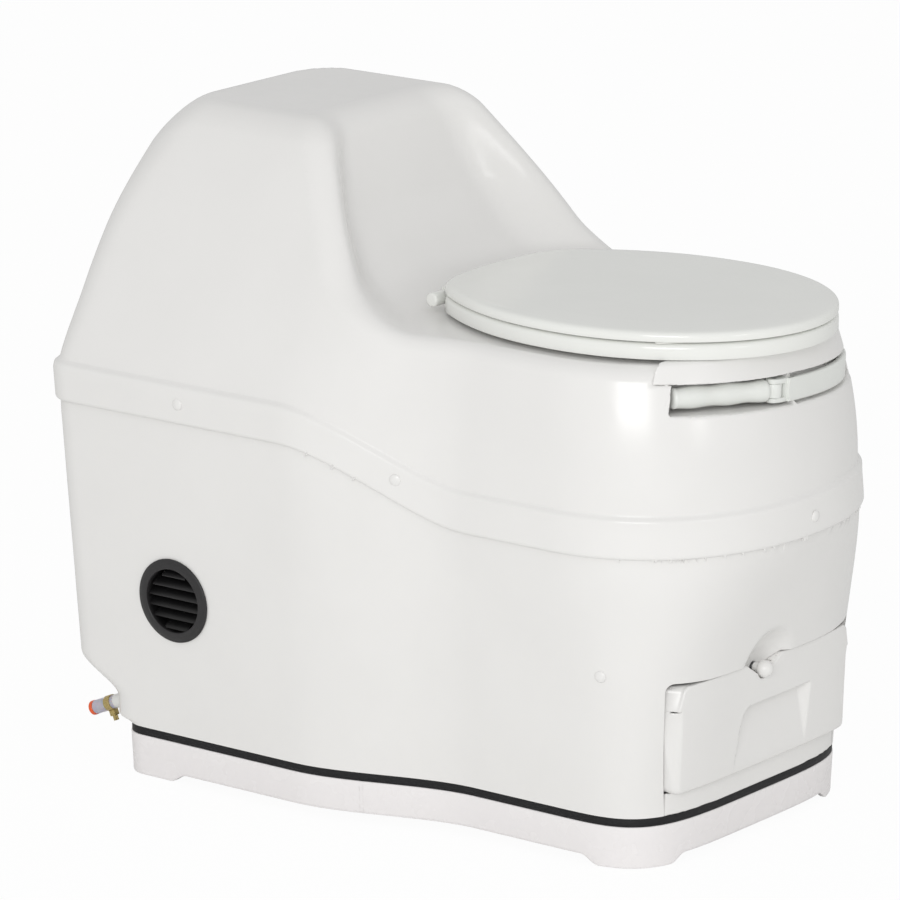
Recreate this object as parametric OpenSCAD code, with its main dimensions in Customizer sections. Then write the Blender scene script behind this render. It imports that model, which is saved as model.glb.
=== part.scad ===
// Self-contained composting toilet, all sizes in millimetres.
// +Z is up, the front faces -Y, and the floor is z = 0.

/* [Base] */
// Height of the base tray, up to the underside of the seal
base_h = 48; // [40:1:60]
// Thickness of the rubber seal between base tray and lower shell
seal_t = 10; // [6:1:12]
// Lift of the base tray's skirt off the floor between the feet
skirt_lift = 10; // [5:1:14]

/* [Body] */
// Half width of the body at its foot, in the rear part
rear_half_w = 257; // [240:1:270]
// Half width of the body at its foot, in the front part
front_half_w = 207; // [195:1:220]
// Distance from the origin to the front of the body at its foot
foot_front = 372; // [360:1:380]
// Distance from the origin to the rear of the body at its foot
foot_rear = 334; // [325:1:345]
// Wall thickness of the moulded shells
wall = 4.5; // [3:0.5:6]
// Height of the seam between the shells at the front
seam_front_z = 354; // [345:1:360]
// Height of the seam between the shells at the rear
seam_rear_z = 430; // [420:1:440]
// Height of the lip that the upper shell hangs over the seam with
lip_h = 45; // [35:1:55]
// How far the lip stands out from the walls
lip_out = 5; // [4:0.5:8]
// Height of the deck that the seat stands on
deck_z = 558; // [550:1:565]
// Height of the top of the rear housing
top_z = 759; // [740:1:780]

/* [Seat] */
// Half width of the seat and the lid
seat_half_w = 183; // [175:1:190]
// Length of the lid, from its rear edge to its front
seat_len = 437; // [430:1:440]
// Thickness of the seat ring
ring_t = 15; // [12:1:18]
// Thickness of the lid
lid_t = 12; // [8:1:13]

/* [Drum] */
// Outer radius of the drum
drum_r = 152; // [140:1:153]
// Length of the drum between its end discs
drum_len = 396; // [360:1:400]
// Height of the drum's axis
drum_z = 338; // [332:1:340]
// Number of teeth on the drum's sprocket
drum_teeth = 32; // [28:1:34]
// Number of teeth on the crank's sprocket
crank_teeth = 10; // [9:1:12]

/* [Openings] */
// Radius of the louvre's flange
louvre_r = 49; // [46:1:52]
// Outer radius of the vent collar
collar_r = 42; // [38:1:44]
// Half width of the finishing drawer's front
drawer_half_w = 162; // [155:1:165]

/* [Hidden] */

$fn = 64;
clear = 0.3;
run_gap = 0.05;
eps = 1;

// Colours as they look
shell_white = [0.91, 0.91, 0.89];
base_white = [0.90, 0.88, 0.88];
seal_black = [0.08, 0.08, 0.09];
steel = [0.70, 0.71, 0.73];
zinc = [0.80, 0.72, 0.45];
inner_grey = [0.55, 0.57, 0.58];
plug_orange = [0.95, 0.42, 0.22];

// ---- Outer form of the body ----
foot_z = base_h + seal_t;
front_depth = 136;
front_power = 4.2;
jog_front_y = -135;
jog_rear_y = 81;
corner_r = 32;
ledge_z = 86;
ledge_h = 46;
ledge_out = 53;
side_draft = 20 / 371;
front_steps = 14;
jog_steps = 9;
corner_steps = 6;
housing_z = 466;
roof_r = 25;
deck_edge_r = 16;

function clamp01(t) = min(1, max(0, t));
function smooth(t) = let (k = clamp01(t)) k * k * (3 - 2 * k);
function mix(a, b, t) = a + (b - a) * t;
function round_in(r, h) = h <= 0 ? 0 : r - sqrt(max(0, r * r - h * h));

// Height of the seam at a place along the length
function seam(y) = mix(seam_front_z, seam_rear_z, smooth((y + 140) / 225));

// Front extent, front half width, depth and squareness of the rounded front at a height
function rise(z) = clamp01((z - foot_z) / (seam_front_z - foot_z));
function tuck(z) = 0.00105 * pow(max(0, z - 400), 2);
function waist(z) = 2 * smooth((z - seam_front_z) / 40);
function front_y(z) = foot_front + 12 * rise(z) + 53 * pow(rise(z), 2) - waist(z) - tuck(z);
function front_w(z) = front_half_w + 28 * rise(z) - 7 * pow(rise(z), 2) - waist(z) - 0.75 * tuck(z);
function front_d(z) = front_depth + 53 * rise(z) - 0.3 * tuck(z);
function front_n(z) = front_power - 0.4 * rise(z) - 1.6 * pow(rise(z), 2);

// Half width and rear wall of the body at a height
function side_w(z) = let (h = max(0, z - housing_z))
  rear_half_w + side_draft * (min(z, housing_z) - foot_z) - 0.3 * h - 0.0006 * h * h;
function rear_y(z) = let (h = max(0, z - housing_z))
  foot_rear + 17 * smooth((z - foot_z) / 7) + ledge_out * smooth((z - ledge_z) / ledge_h)
  + 0.04 * max(0, min(z, housing_z) - ledge_z - ledge_h) - 0.05 * h - 0.0004 * h * h;

// Right half of the body's plan at a height, from the front centre to the rear, grown by g
function front_part(z, g) = let (w = front_w(z) + g, d = front_d(z), n = front_n(z), y0 = d - front_y(z) - g)
  [for (i = [0:front_steps]) let (a = 90 * i / front_steps)
    [w * pow(sin(a), 2 / n), y0 - d * pow(cos(a), 2 / n)]];
function jog_part(z, g) = let (y0 = front_d(z) - front_y(z) - g)
  [for (i = [1:jog_steps]) let (y = mix(y0, jog_rear_y, i / jog_steps))
    [side_at(y, z) + g, y]];
function rear_part(w, y, r) = [for (i = [0:corner_steps]) let (a = 90 * i / corner_steps)
  [w - r + r * cos(a), y - r + r * sin(a)]];
function side_at(y, z) = mix(front_w(z), side_w(z), smooth((y - jog_front_y) / (jog_rear_y - jog_front_y)));
function mirrored(half) = concat(half, [for (i = [len(half) - 1:-1:1]) [-half[i][0], half[i][1]]]);
function body_plan(z, g) = mirrored(concat(front_part(z, g), jog_part(z, g),
  rear_part(side_w(z) + g, rear_y(z) + g, corner_r)));

// Right half of the rear housing's plan at a height: the scooped front, then side and rear
function ridge_y(z) = 12 + 0.64 * (z - 572);
function scoop(z) = 46 * pow(clamp01((785 - z) / 130), 0.8);
function scoop_foot(z) = pow(max(0, 50 - max(0, z - deck_z)), 2) / 100;
function roof_in(z) = round_in(roof_r, z - top_z + roof_r);
function housing_plan(z, g) = let (zz = max(z, deck_z), e = roof_in(z), w = side_w(z) - e + g,
    yr = rear_y(z) - round_in(90, z - top_z + 90) + g, yf = ridge_y(zz) + e - g, ys = max(yf + 20, jog_rear_y),
    wf = side_at(yf, z) - e + g)
  mirrored(concat(
    [for (i = [0:front_steps]) let (u = i / front_steps)
      [u * (wf - 12), yf + (scoop(zz) - scoop_foot(zz)) * (1 - smooth((u - 0.57) / 0.43)) - 2 * sin(90 * u)]],
    [[wf - 5, yf + 2]],
    [for (i = [0:4]) let (y = mix(yf + 8, ys, i / 4)) [side_at(y, z) - e + g, y]],
    rear_part(w, yr, 45 + 25 * smooth((z - 620) / 139))));

// Closed solid through a stack of plans
module loft(levels, plans) {
  n = len(plans[0]);
  m = len(levels);
  polyhedron(
    points = [for (j = [0:m - 1], p = plans[j]) [p[0], p[1], levels[j]]],
    faces = concat(
      [[for (i = [0:n - 1]) i]],
      [for (j = [0:m - 2], i = [0:n - 1]) let (k = (i + 1) % n) [j * n + i, (j + 1) * n + i, (j + 1) * n + k]],
      [for (j = [0:m - 2], i = [0:n - 1]) let (k = (i + 1) % n) [j * n + i, (j + 1) * n + k, j * n + k]],
      [[for (i = [n - 1:-1:0]) (m - 1) * n + i]]));
}

module body_loft(levels, g) {
  loft(levels, [for (z = levels) body_plan(z, g)]);
}

lower_levels = [foot_z, 62, 66, 92, 101, 112, 121, 130, 138, 170, 209, 250, 290, 325, 356, 400, 445];
pod_levels = [340, 370, 400, 440, 475, 500, 530, 542];
deck_levels = [547, 552, 556, deck_z];
housing_levels = [450, 500, 545, deck_z, 568, 580, 592, 608, 640, 690, 733, 744, 753, 758, top_z];

// Solid of the seat pod, with a rounded edge round the deck
module pod(g) {
  loft(concat(pod_levels, [for (z = deck_levels) z + g]), concat(
    [for (z = pod_levels) body_plan(z, g)],
    [for (z = deck_levels) body_plan(z, g - round_in(deck_edge_r, z - deck_z + deck_edge_r))]));
}

// Solid of the rear housing
module housing(g) {
  loft([for (z = housing_levels) z + (z > deck_z ? g : 0)], [for (z = housing_levels) housing_plan(z, g)]);
}

// Slab across the whole width between two curves drawn over the length
module profile_slab(points) {
  rotate([90, 0, 90]) linear_extrude(700, center = true) polygon(points);
}
seam_steps = [for (i = [0:30]) -470 + i * 31];
module above_seam(lift) {
  profile_slab(concat([for (y = seam_steps) [y, seam(y) + lift]], [[460, 900], [-470, 900]]));
}
module below_seam(drop) {
  profile_slab(concat([for (i = [30:-1:0]) [seam_steps[i], seam(seam_steps[i]) - drop]], [[-470, 0], [460, 0]]));
}

// Horizontal cylinders along Y and X
module cyl_y(r, y1, y2) {
  translate([0, y1, 0]) rotate([-90, 0, 0]) cylinder(r = r, h = y2 - y1);
}
module cyl_x(r, x1, x2) {
  translate([x1, 0, 0]) rotate([0, 90, 0]) cylinder(r = r, h = x2 - x1);
}
module both_sides() {
  children();
  mirror([1, 0, 0]) children();
}

// ---- Base ----
foot_x = [230, 182];
foot_y = [295, -328];
pad_x = [226, 172];
pad_y = [290, -318];
pad_r = 12;

module foot_blocks() {
  for (i = [0:1]) both_sides() translate([foot_x[i] - 25, foot_y[i] - 38, 0.5]) cube([60, 84, skirt_lift]);
}

module base_tray() {
  color(base_white) difference() {
    union() {
      loft([skirt_lift, base_h], [body_plan(foot_z, -2), body_plan(foot_z, 0)]);
      intersection() {
        loft([0, skirt_lift + eps], [body_plan(foot_z, -2), body_plan(foot_z, -2)]);
        foot_blocks();
      }
    }
    loft([skirt_lift + 3, base_h + eps], [body_plan(foot_z, -8), body_plan(foot_z, -7)]);
    for (i = [0:1]) both_sides() translate([pad_x[i], pad_y[i], -eps]) cylinder(r = pad_r, h = 4 + eps);
  }
}

module foot_pads() {
  color(seal_black) for (i = [0:1]) both_sides() translate([pad_x[i], pad_y[i], 0]) cylinder(r = pad_r, h = 4);
}

module base_seal() {
  color(seal_black) difference() {
    linear_extrude_between(base_h, foot_z) polygon(body_plan(foot_z, -1.2));
    linear_extrude_between(base_h - eps, foot_z + eps) polygon(body_plan(foot_z, -11));
  }
}

module linear_extrude_between(z1, z2) {
  translate([0, 0, z1]) linear_extrude(z2 - z1) children();
}

// ---- Lower shell ----
louvre_y = 244;
louvre_z = 219;
louvre_tilt = -atan(side_draft);
barrel_r = 43;
drawer_top_z = 206;
drawer_low_z = 84;
lock_x = -14;
lock_z = 195;
dish_r = 62;
dish_y = -432;
drain_x = -235;
drain_z = 74;
gland_x = 205;
gland_z = 78;
cap_r = 6.5;

module at_louvre() {
  translate([-side_w(louvre_z), louvre_y, louvre_z]) rotate([0, -90 + louvre_tilt, 0]) children();
}

module at_drain() {
  translate([drain_x, 354, drain_z]) rotate([-90 - 23, 0, 0]) children();
}

// Outward places of the screws: lip sides, jog, front and rear, then the lower front corners
function on_side(y, z, g) = [side_at(y, z) + g, y, z];
lip_screws = [
  concat(on_side(221, 453, lip_out), 0),
  concat(on_side(-56, 404, lip_out), -20)];
function corner_x(y, z) = let (n = front_n(z), k = (front_d(z) - front_y(z) - y) / front_d(z))
  front_w(z) * pow(1 - pow(k, n), 1 / n);
corner_screw = [corner_x(-311, 220), -311, 220, -14];

module at_screws() {
  for (s = lip_screws) both_sides() translate([s[0], s[1], s[2]]) rotate([0, 90, s[3]]) children();
  both_sides() translate([150, rear_y(453) + lip_out, 453]) rotate([-90, 0, 0]) children();
  both_sides() translate([corner_screw[0], corner_screw[1], corner_screw[2]]) rotate([0, 90, corner_screw[3]])
    children();
  translate([0, -front_y(374) - lip_out, 374]) rotate([90, 0, 0]) children();
}

// Hole of each screw, with a flat seat for its cap
module screw_holes() {
  at_screws() {
    translate([0, 0, -16]) cylinder(r = 2.2, h = 22);
    cylinder(r = cap_r + 0.05, h = 6);
  }
}

// Opening of the drawer, widening a little towards its top, grown by g
drawer_flare = 10;
module front_slot(g, z1, z2) {
  w1 = drawer_half_w + g + drawer_flare * (z1 - drawer_low_z) / (drawer_top_z - drawer_low_z);
  w2 = drawer_half_w + g + drawer_flare * (z2 - drawer_low_z) / (drawer_top_z - drawer_low_z);
  translate([0, -320, 0]) rotate([90, 0, 0]) linear_extrude(140)
    polygon([[-w1, z1], [w1, z1], [w2, z2 - 7], [w2 - 2, z2 - 2], [w2 - 7, z2], [7 - w2, z2], [2 - w2, z2 - 2],
      [-w2, z2 - 7]]);
}

// V-shaped lug over the opening that carries the lock, grown by g
module lug_prism(g) {
  translate([lock_x, -352, 0]) rotate([90, 0, 0]) linear_extrude(75)
    polygon([for (p = [[-46, 252], [-37, 209], [-12, 193], [-9, 188], [-4, 185.5], [4, 185.5], [9, 188], [12, 193],
      [37, 209], [46, 252]]) [p[0] + (p[0] > 0 ? g : -g), p[1] - g]]);
}

module lower_shell() {
  color(shell_white) difference() {
    union() {
      difference() {
        intersection() {
          body_loft(lower_levels, 0);
          below_seam(clear);
        }
        body_loft(concat([foot_z - eps], lower_levels), -wall);
        front_slot(1.4, foot_z - eps, drawer_top_z + 1.6);
      }
      intersection() {
        body_loft([130, 170, 209, 250, 290], 0);
        lug_prism(0);
      }
    }
    translate([lock_x, dish_y, 190]) sphere(r = dish_r);
    translate([lock_x, 0, lock_z]) cyl_y(5.6, -420, -350);
    at_louvre() translate([0, 0, -12]) cylinder(r = barrel_r + 0.5, h = 24);
    at_drain() translate([0, 0, -16]) cylinder(r = 8.05, h = 28);
    translate([gland_x, 0, gland_z]) cyl_y(7.8, 330, 370);
    screw_holes();
  }
}

module front_sill() {
  color(shell_white) intersection() {
    difference() {
      body_loft([foot_z, 62, 66, drawer_low_z - 1], 0);
      body_loft([foot_z - eps, 66, drawer_low_z], -wall);
    }
    translate([-drawer_half_w + 1.5, -460, foot_z]) cube([2 * drawer_half_w - 3, 140, 30]);
  }
}

// ---- Upper shell ----
crank_z = 508;
recess_h = 32;
grip_zone = [-166, -14, 45];
arm_zone = [-14, 166, 13];
hood_z = crank_z + recess_h / 2 + 0.7;
hood_t = 12;
hood_half_w = 187;
crank_tilt = 2.8;
hub_x = 140;
hub_y = -352;
bowl_y = -232;
bowl_a = 112;
bowl_b = 137;
collar_z = 590;
fan_y = 348;

// Superellipse outline of the bowl opening
function bowl_plan(a, b, y0) = [for (i = [0:39]) let (t = 9 * i)
  [a * sign(cos(t)) * pow(abs(cos(t)), 0.86), y0 + b * sign(sin(t)) * pow(abs(sin(t)), 0.86)]];

// Band that follows the rounded front between two heights and two depths
module front_band(z1, z2, g1, g2) {
  difference() {
    body_loft([z1, (z1 + z2) / 2, z2], g1);
    body_loft([z1 - eps, (z1 + z2) / 2, z2 + eps], g2);
  }
}

// The stored crank rises a little to the left, about the axis of its hub
module tilted() {
  translate([hub_x, 0, crank_z]) rotate([0, crank_tilt, 0]) translate([-hub_x, 0, -crank_z]) children();
}

// Part of the crank's recess between two places across the front, grown on all sides by g
module recess(zone, out, g) {
  low = crank_z - recess_h / 2 - g;
  intersection() {
    front_band(475, 550, out, -zone[2] - g);
    tilted() translate([zone[0] - g, -460, low]) cube([zone[1] - zone[0] + 2 * g, 200, hood_z + g - low]);
  }
}

// Room of the liner's hood, over the recess
module hood_room(g, drop) {
  intersection() {
    front_band(500, deck_z + (g > 0 ? 6 : rim_t), g, -hood_t - (g > 0 ? 0.5 : 0));
    tilted() translate([-260, -460, hood_z - drop]) cube([520, 200, 90]);
    translate([-hood_half_w - drop, -460, 480]) cube([2 * (hood_half_w + drop), drop > 0 ? 105 : 104.5, 100]);
  }
}

module upper_shell() {
  color(shell_white) difference() {
    union() {
      difference() {
        intersection() {
          union() {
            pod(0);
            housing(0);
          }
          above_seam(0);
        }
        pod(-wall);
        housing(-wall);
      }
      difference() {
        intersection() {
          body_loft([340, 370, 400, 440, 480], lip_out);
          above_seam(0);
          below_seam(-lip_h);
        }
        body_loft([335, 370, 400, 440, 485], -wall);
      }
      recess(grip_zone, -2, wall);
      recess(arm_zone, -2, wall);
    }
    recess(grip_zone, 12, 0);
    recess(arm_zone, 12, 0);
    difference() {
      body_loft([335, 354, 370, 400, seam_rear_z + 8], clear);
      above_seam(10);
    }
    hood_room(12, 0.5);
    linear_extrude_between(545, 565) polygon(bowl_plan(bowl_a, bowl_b, bowl_y));
    translate([hub_x, 0, crank_z]) cyl_y(12, -380, -300);
    translate([0, 0, collar_z]) cyl_y(collar_r + 0.06, 380, 430);
    screw_holes();
  }
}

module shell_screws() {
  color(steel) at_screws() translate([0, 0, -14]) cylinder(r = 2.2, h = 14);
}

module screw_caps() {
  color(shell_white) at_screws() rotate_extrude() polygon(concat([[0, 0]],
    [for (a = [0:15:90]) [cap_r * cos(a), 2.9 * sin(a)]]));
}

// ---- Air inlet ----
slat_count = 6;

module vent_louvre() {
  inner_r = louvre_r * 0.765;
  color(seal_black) at_louvre() {
    rotate_extrude() polygon([[inner_r, -16], [barrel_r, -16], [barrel_r, 0.4], [louvre_r, 0.4],
      [louvre_r, 2], [louvre_r - 2, 3.6], [inner_r + 1.5, 4], [inner_r, 2.6]]);
    intersection() {
      translate([0, 0, -16]) cylinder(r = inner_r + 0.5, h = 20);
      for (i = [0:slat_count - 1])
        translate([(i - (slat_count - 1) / 2) * 2 * inner_r / slat_count, 0, -7])
          rotate([0, -35, 0]) cube([1.6, 2 * inner_r + 2, 15], center = true);
    }
  }
}

// ---- Bowl liner with its front hood ----
chute_z = 497;
rim_t = 4;

module bowl_liner() {
  rim_top = deck_z + rim_t;
  color(shell_white) difference() {
    union() {
      loft([chute_z, deck_z - 2, rim_top], [bowl_plan(76, 71, -190), bowl_plan(bowl_a - 2, bowl_b - 2, bowl_y),
        bowl_plan(bowl_a - 2, bowl_b - 2, bowl_y)]);
      linear_extrude_between(deck_z, rim_top) polygon(bowl_plan(bowl_a + 24, bowl_b + 24, bowl_y));
      hood_room(0, 0);
      intersection() {
        linear_extrude_between(deck_z, rim_top) polygon(body_plan(deck_z, -6));
        translate([-hood_half_w, -460, 480]) cube([2 * hood_half_w, 104.5, 100]);
      }
    }
    loft([chute_z - eps, rim_top + eps], [bowl_plan(72, 67, -190), bowl_plan(bowl_a - 5, bowl_b - 5, bowl_y)]);
  }
}

// ---- Seat, lid and hinge ----
hinge_y = -5;
hinge_z = 573;
seat_rear_y = 2;
seat_front_y = seat_rear_y - seat_len;
seat_wide_y = seat_front_y + 215;
seat_rear_w = 120;
corner_a = 89;
corner_b = 53.2;
ring_z = 565;
lid_z = ring_z + ring_t + 2;
rod_r = 4;
knuckle_r = 8.5;
post_r = 8.5;

// Egg-shaped outline of the lid, drawn in by g: half an ellipse in front, tapering sides, rounded rear corners
function seat_bow(g) = [for (a = [90:-6:6]) [(seat_half_w - g) * cos(a), seat_wide_y - (215 - g) * sin(a)]];
function seat_side(g) = [for (i = [0:9]) let (s = i / 10)
  [seat_half_w - g - (seat_half_w - seat_rear_w) * pow(s, 2.2), mix(seat_wide_y, seat_rear_y - 32 - 0.4 * g, s)]];
function seat_corner(g) = [for (i = [0:5]) let (a = mix(23.5, 90, i / 5))
  [38.4 + (corner_a - g) * cos(a), seat_rear_y - corner_b + (corner_b - g) * sin(a)]];
function seat_plan(g) = mirrored(concat(seat_bow(g), seat_side(g), seat_corner(g)));

module at_hinge() {
  translate([0, hinge_y, hinge_z]) children();
}

// Hinge barrel on both sides, joined to a slab by a web
module knuckles(x1, x2, y1, z1, z2) {
  both_sides() difference() {
    union() {
      at_hinge() cyl_x(knuckle_r, x1, x2);
      translate([x1, y1, z1]) cube([x2 - x1, hinge_y + 5 - y1, z2 - z1]);
    }
    at_hinge() cyl_x(rod_r + run_gap, x1 - eps, x2 + eps);
  }
}

module seat_ring() {
  color(shell_white) {
    difference() {
      union() {
        linear_extrude_between(ring_z, ring_z + ring_t - 3) polygon(seat_plan(0));
        linear_extrude_between(ring_z + ring_t - 3, ring_z + ring_t) polygon(seat_plan(1.5));
        difference() {
          linear_extrude_between(ring_z - 2.4, ring_z + 0.5) polygon(seat_plan(0));
          linear_extrude_between(ring_z - 3, ring_z + 0.6) polygon(seat_plan(4));
        }
      }
      linear_extrude_between(ring_z - eps, ring_z + ring_t + eps) polygon(bowl_plan(104, 132, -236));
      translate([-150, hinge_y - 9.5, ring_z - 4]) cube([300, 40, ring_t + 8]);
    }
    knuckles(21, 37, hinge_y - 14, hinge_z, ring_z + ring_t);
  }
}

module seat_bumpers() {
  color(shell_white) both_sides() {
    translate([118, -160, deck_z + rim_t + clear]) cylinder(r = 8, h = ring_z - deck_z - rim_t - clear);
    translate([60, -372, deck_z + rim_t + clear]) cylinder(r = 8, h = ring_z - deck_z - rim_t - clear);
  }
}

module seat_lid() {
  color(shell_white) {
    loft([for (h = [0, 1, lid_t - 6, lid_t - 3.5, lid_t - 2, lid_t]) lid_z + h],
      [for (g = [1, 0, 0, 1, 3, 40]) seat_plan(g)]);
    knuckles(61, 90, hinge_y - 5, hinge_z, lid_z + 1);
  }
}

module lid_bumpers() {
  color(shell_white) both_sides() {
    translate([150, -250, lid_z - 2 + clear]) cylinder(r = 6, h = 2 - clear);
    translate([134, -345, lid_z - 2 + clear]) cylinder(r = 6, h = 2 - clear);
  }
}

module hinge_posts() {
  color(shell_white) both_sides() difference() {
    union() {
      at_hinge() cyl_x(post_r, 41, 57);
      translate([41, hinge_y - post_r, deck_z]) cube([16, post_r + 6, hinge_z - deck_z]);
      translate([37, hinge_y - post_r - 10, deck_z]) cube([24, post_r + 16, 4]);
    }
    at_hinge() cyl_x(rod_r, 30, 70);
  }
}

module hinge_pins() {
  color(shell_white) both_sides() at_hinge() {
    cyl_x(rod_r, 19, 95);
    cyl_x(8, 91, 111);
  }
}

// ---- Crank ----
grip_x = -34;
grip_pivot_y = -front_y(crank_z) + 15.75;
grip_angle = 156;
grip_len = 121;
arm_t = 7;
arm_h = 26;
stub_r = 7;
sleeve_r = 11;
chain_y = -322;

// Arm's plan: a strip that follows the rounded front from the fork to the hub
function front_at(x, g) = let (w = front_w(crank_z) + g, d = front_d(crank_z), n = front_n(crank_z))
  d - front_y(crank_z) - g - d * pow(1 - pow(min(1, abs(x) / w), n), 1 / n);
arm_from = -22;
arm_to = 158;
arm_steps = [for (i = [0:16]) mix(arm_from, arm_to, i / 16)];
function arm_plan() = concat([for (x = arm_steps) [x, front_at(x, -2)]],
  [for (i = [16:-1:0]) [arm_steps[i], front_at(arm_steps[i], -2 - arm_t)]]);

module crank_arm() {
  color(shell_white) tilted() {
    linear_extrude_between(crank_z - arm_h / 2, crank_z + arm_h / 2) polygon(arm_plan());
    translate([hub_x, 0, crank_z]) {
      cyl_y(10, -376, hub_y - clear);
      cyl_y(stub_r, hub_y - 4, -286);
    }
    difference() {
      union() {
        for (k = [-1, 1]) translate([0, 0, crank_z + k * 10.5]) {
          translate([grip_x, grip_pivot_y, 0]) cylinder(r = 9, h = 5, center = true);
          translate([grip_x, grip_pivot_y - 9, -2.5]) cube([arm_from - grip_x + 6, 14, 5]);
        }
        translate([arm_from - 2, grip_pivot_y - 9, crank_z - arm_h / 2]) cube([8, 14, arm_h]);
      }
      translate([grip_x, grip_pivot_y, crank_z]) cylinder(r = 3, h = 40, center = true);
    }
  }
}

module grip_pin() {
  color(steel) tilted() translate([grip_x, grip_pivot_y, crank_z]) cylinder(r = 3, h = arm_h, center = true);
}

// Grip with finger waves, turned about its own length, and a flat tang that the pin holds
grip_waves = [for (i = [0:20]) let (d = 12 + i * (grip_len - 16) / 20) [10.4 + 1.1 * cos((d - 52) * 8.57), d]];

module crank_grip() {
  color(shell_white) tilted() translate([grip_x, grip_pivot_y, crank_z]) difference() {
    union() {
      rotate([0, 0, grip_angle]) rotate([0, 90, 0]) rotate_extrude()
        polygon(concat([[0, 9], [7, 9]], grip_waves, [[9.5, grip_len - 2], [7, grip_len], [0, grip_len]]));
      cylinder(r = 8.8, h = 15.4, center = true);
      rotate([0, 0, grip_angle]) translate([0, -6.5, -7.5]) cube([14, 13, 15]);
    }
    cylinder(r = 3 + run_gap, h = 40, center = true);
  }
}

module crank_bushing() {
  color(inner_grey) translate([hub_x, 0, crank_z]) difference() {
    union() {
      cyl_y(12, hub_y, -333);
      cyl_y(16, -337, -333);
    }
    cyl_y(stub_r + 0.4, -400, -300);
  }
}

module crank_sleeve() {
  color(steel) translate([hub_x, 0, crank_z]) difference() {
    union() {
      cyl_y(sleeve_r, chain_y - 6, -282);
      cyl_y(14, chain_y + 2.2, -315);
    }
    cyl_y(stub_r + run_gap, -400, -284);
  }
}

pitch = 12.7;
roller_r = 4;
plate_gap = 2.6;
function pitch_r(teeth) = pitch / (2 * sin(180 / teeth));

// Sprocket in the XZ plane about the origin, its teeth cut by the rollers' circles
module sprocket(teeth, bore) {
  rotate([90, 0, 0]) difference() {
    cylinder(r = pitch_r(teeth) + 2.6, h = 4, center = true);
    for (i = [0:teeth - 1]) rotate([0, 0, i * 360 / teeth]) translate([pitch_r(teeth), 0, 0])
      cylinder(r = roller_r, h = 6, center = true, $fn = 24);
    cylinder(r = bore, h = 6, center = true);
  }
}

module crank_sprocket() {
  color(steel) translate([hub_x, chain_y, crank_z]) sprocket(crank_teeth, sleeve_r);
}

// Open loop of the chain about both sprockets, at a distance from the pitch line
chain_run = [hub_x, crank_z - drum_z];
chain_lean = atan2(chain_run[1], chain_run[0]);
chain_wrap = acos((pitch_r(drum_teeth) - pitch_r(crank_teeth)) / norm(chain_run));
function arc_points(c, r, a1, a2) = [for (i = [0:20]) let (a = mix(a1, a2, i / 20))
  [c[0] + r * cos(a), c[1] + r * sin(a)]];
function chain_loop(g) = concat(
  arc_points([0, 0], pitch_r(drum_teeth) + g, chain_lean + chain_wrap, chain_lean + 360 - chain_wrap),
  arc_points(chain_run, pitch_r(crank_teeth) + g, chain_lean - chain_wrap, chain_lean + chain_wrap));

module drive_chain() {
  span = norm(chain_run) * sin(chain_wrap);
  color(steel) translate([0, chain_y, drum_z]) rotate([90, 0, 0]) {
    for (k = [-1, 1]) translate([0, 0, k * (plate_gap + 0.6)]) linear_extrude(1.2, center = true) difference() {
      polygon(chain_loop(4));
      polygon(chain_loop(-4));
    }
    for (k = [-1, 1], i = [3:floor(span / pitch) - 3]) let (a = chain_lean + k * chain_wrap)
      translate([pitch_r(drum_teeth) * cos(a), pitch_r(drum_teeth) * sin(a), 0]) rotate([0, 0, a - k * 90])
        translate([i * pitch, 0, 0]) cylinder(r = 3, h = 2 * plate_gap + 2.4, center = true, $fn = 24);
  }
}

// ---- Drum ----
drum_front_y = -304;
disc_t = 4;
drum_rear_y = drum_front_y + 2 * disc_t + drum_len;
axle_r = 12;
drum_wall = 3;
door_w = 128;
door_y1 = -262;
door_y2 = -92;
bar_count = 4;

module at_drum() {
  translate([0, 0, drum_z]) children();
}

module drum_sprocket() {
  color(steel) at_drum() {
    translate([0, chain_y, 0]) sprocket(drum_teeth, axle_r);
    difference() {
      cyl_y(20, chain_y + 2, -316);
      cyl_y(axle_r, -330, -310);
    }
  }
}

module drum_axles() {
  color(steel) at_drum() {
    cyl_y(axle_r, -328, drum_front_y);
    cyl_y(axle_r, drum_rear_y, drum_rear_y + 22);
  }
}

module drum_shell() {
  color(inner_grey) at_drum() difference() {
    cyl_y(drum_r, drum_front_y + disc_t, drum_rear_y - disc_t);
    cyl_y(drum_r - drum_wall, drum_front_y, drum_rear_y);
    translate([-door_w / 2, door_y1, 100]) cube([door_w, door_y2 - door_y1, 80]);
    for (i = [0:23], y = [-60:24:80]) translate([0, y, 0]) rotate([0, i * 15 + 7.5, 0])
      translate([0, 0, -drum_r - eps]) cylinder(r = 3, h = 8, $fn = 16);
  }
}

module drum_disc(y) {
  at_drum() difference() {
    cyl_y(drum_r, y, y + disc_t);
    for (a = [0, 180]) rotate([0, a, 0]) translate([lock_x, 0, lock_z - drum_z]) cyl_y(5, y - eps, y + disc_t + eps);
  }
}

module drum_front_disc() {
  color(inner_grey) drum_disc(drum_front_y);
}

module drum_rear_disc() {
  color(inner_grey) at_drum() cyl_y(drum_r, drum_rear_y - disc_t, drum_rear_y);
}

module mixing_bars() {
  color(steel) at_drum() for (i = [0:bar_count - 1]) rotate([0, 45 + i * 90, 0]) translate([0, 0, 104])
    cyl_y(5, drum_front_y + disc_t, drum_rear_y - disc_t);
}

// Door in the drum's opening, hinged along its left edge so that it swings into the drum
door_pin_x = -door_w / 2 + 5;
door_pin_z = sqrt(pow(drum_r - 9, 2) - pow(door_pin_x, 2));

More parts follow.
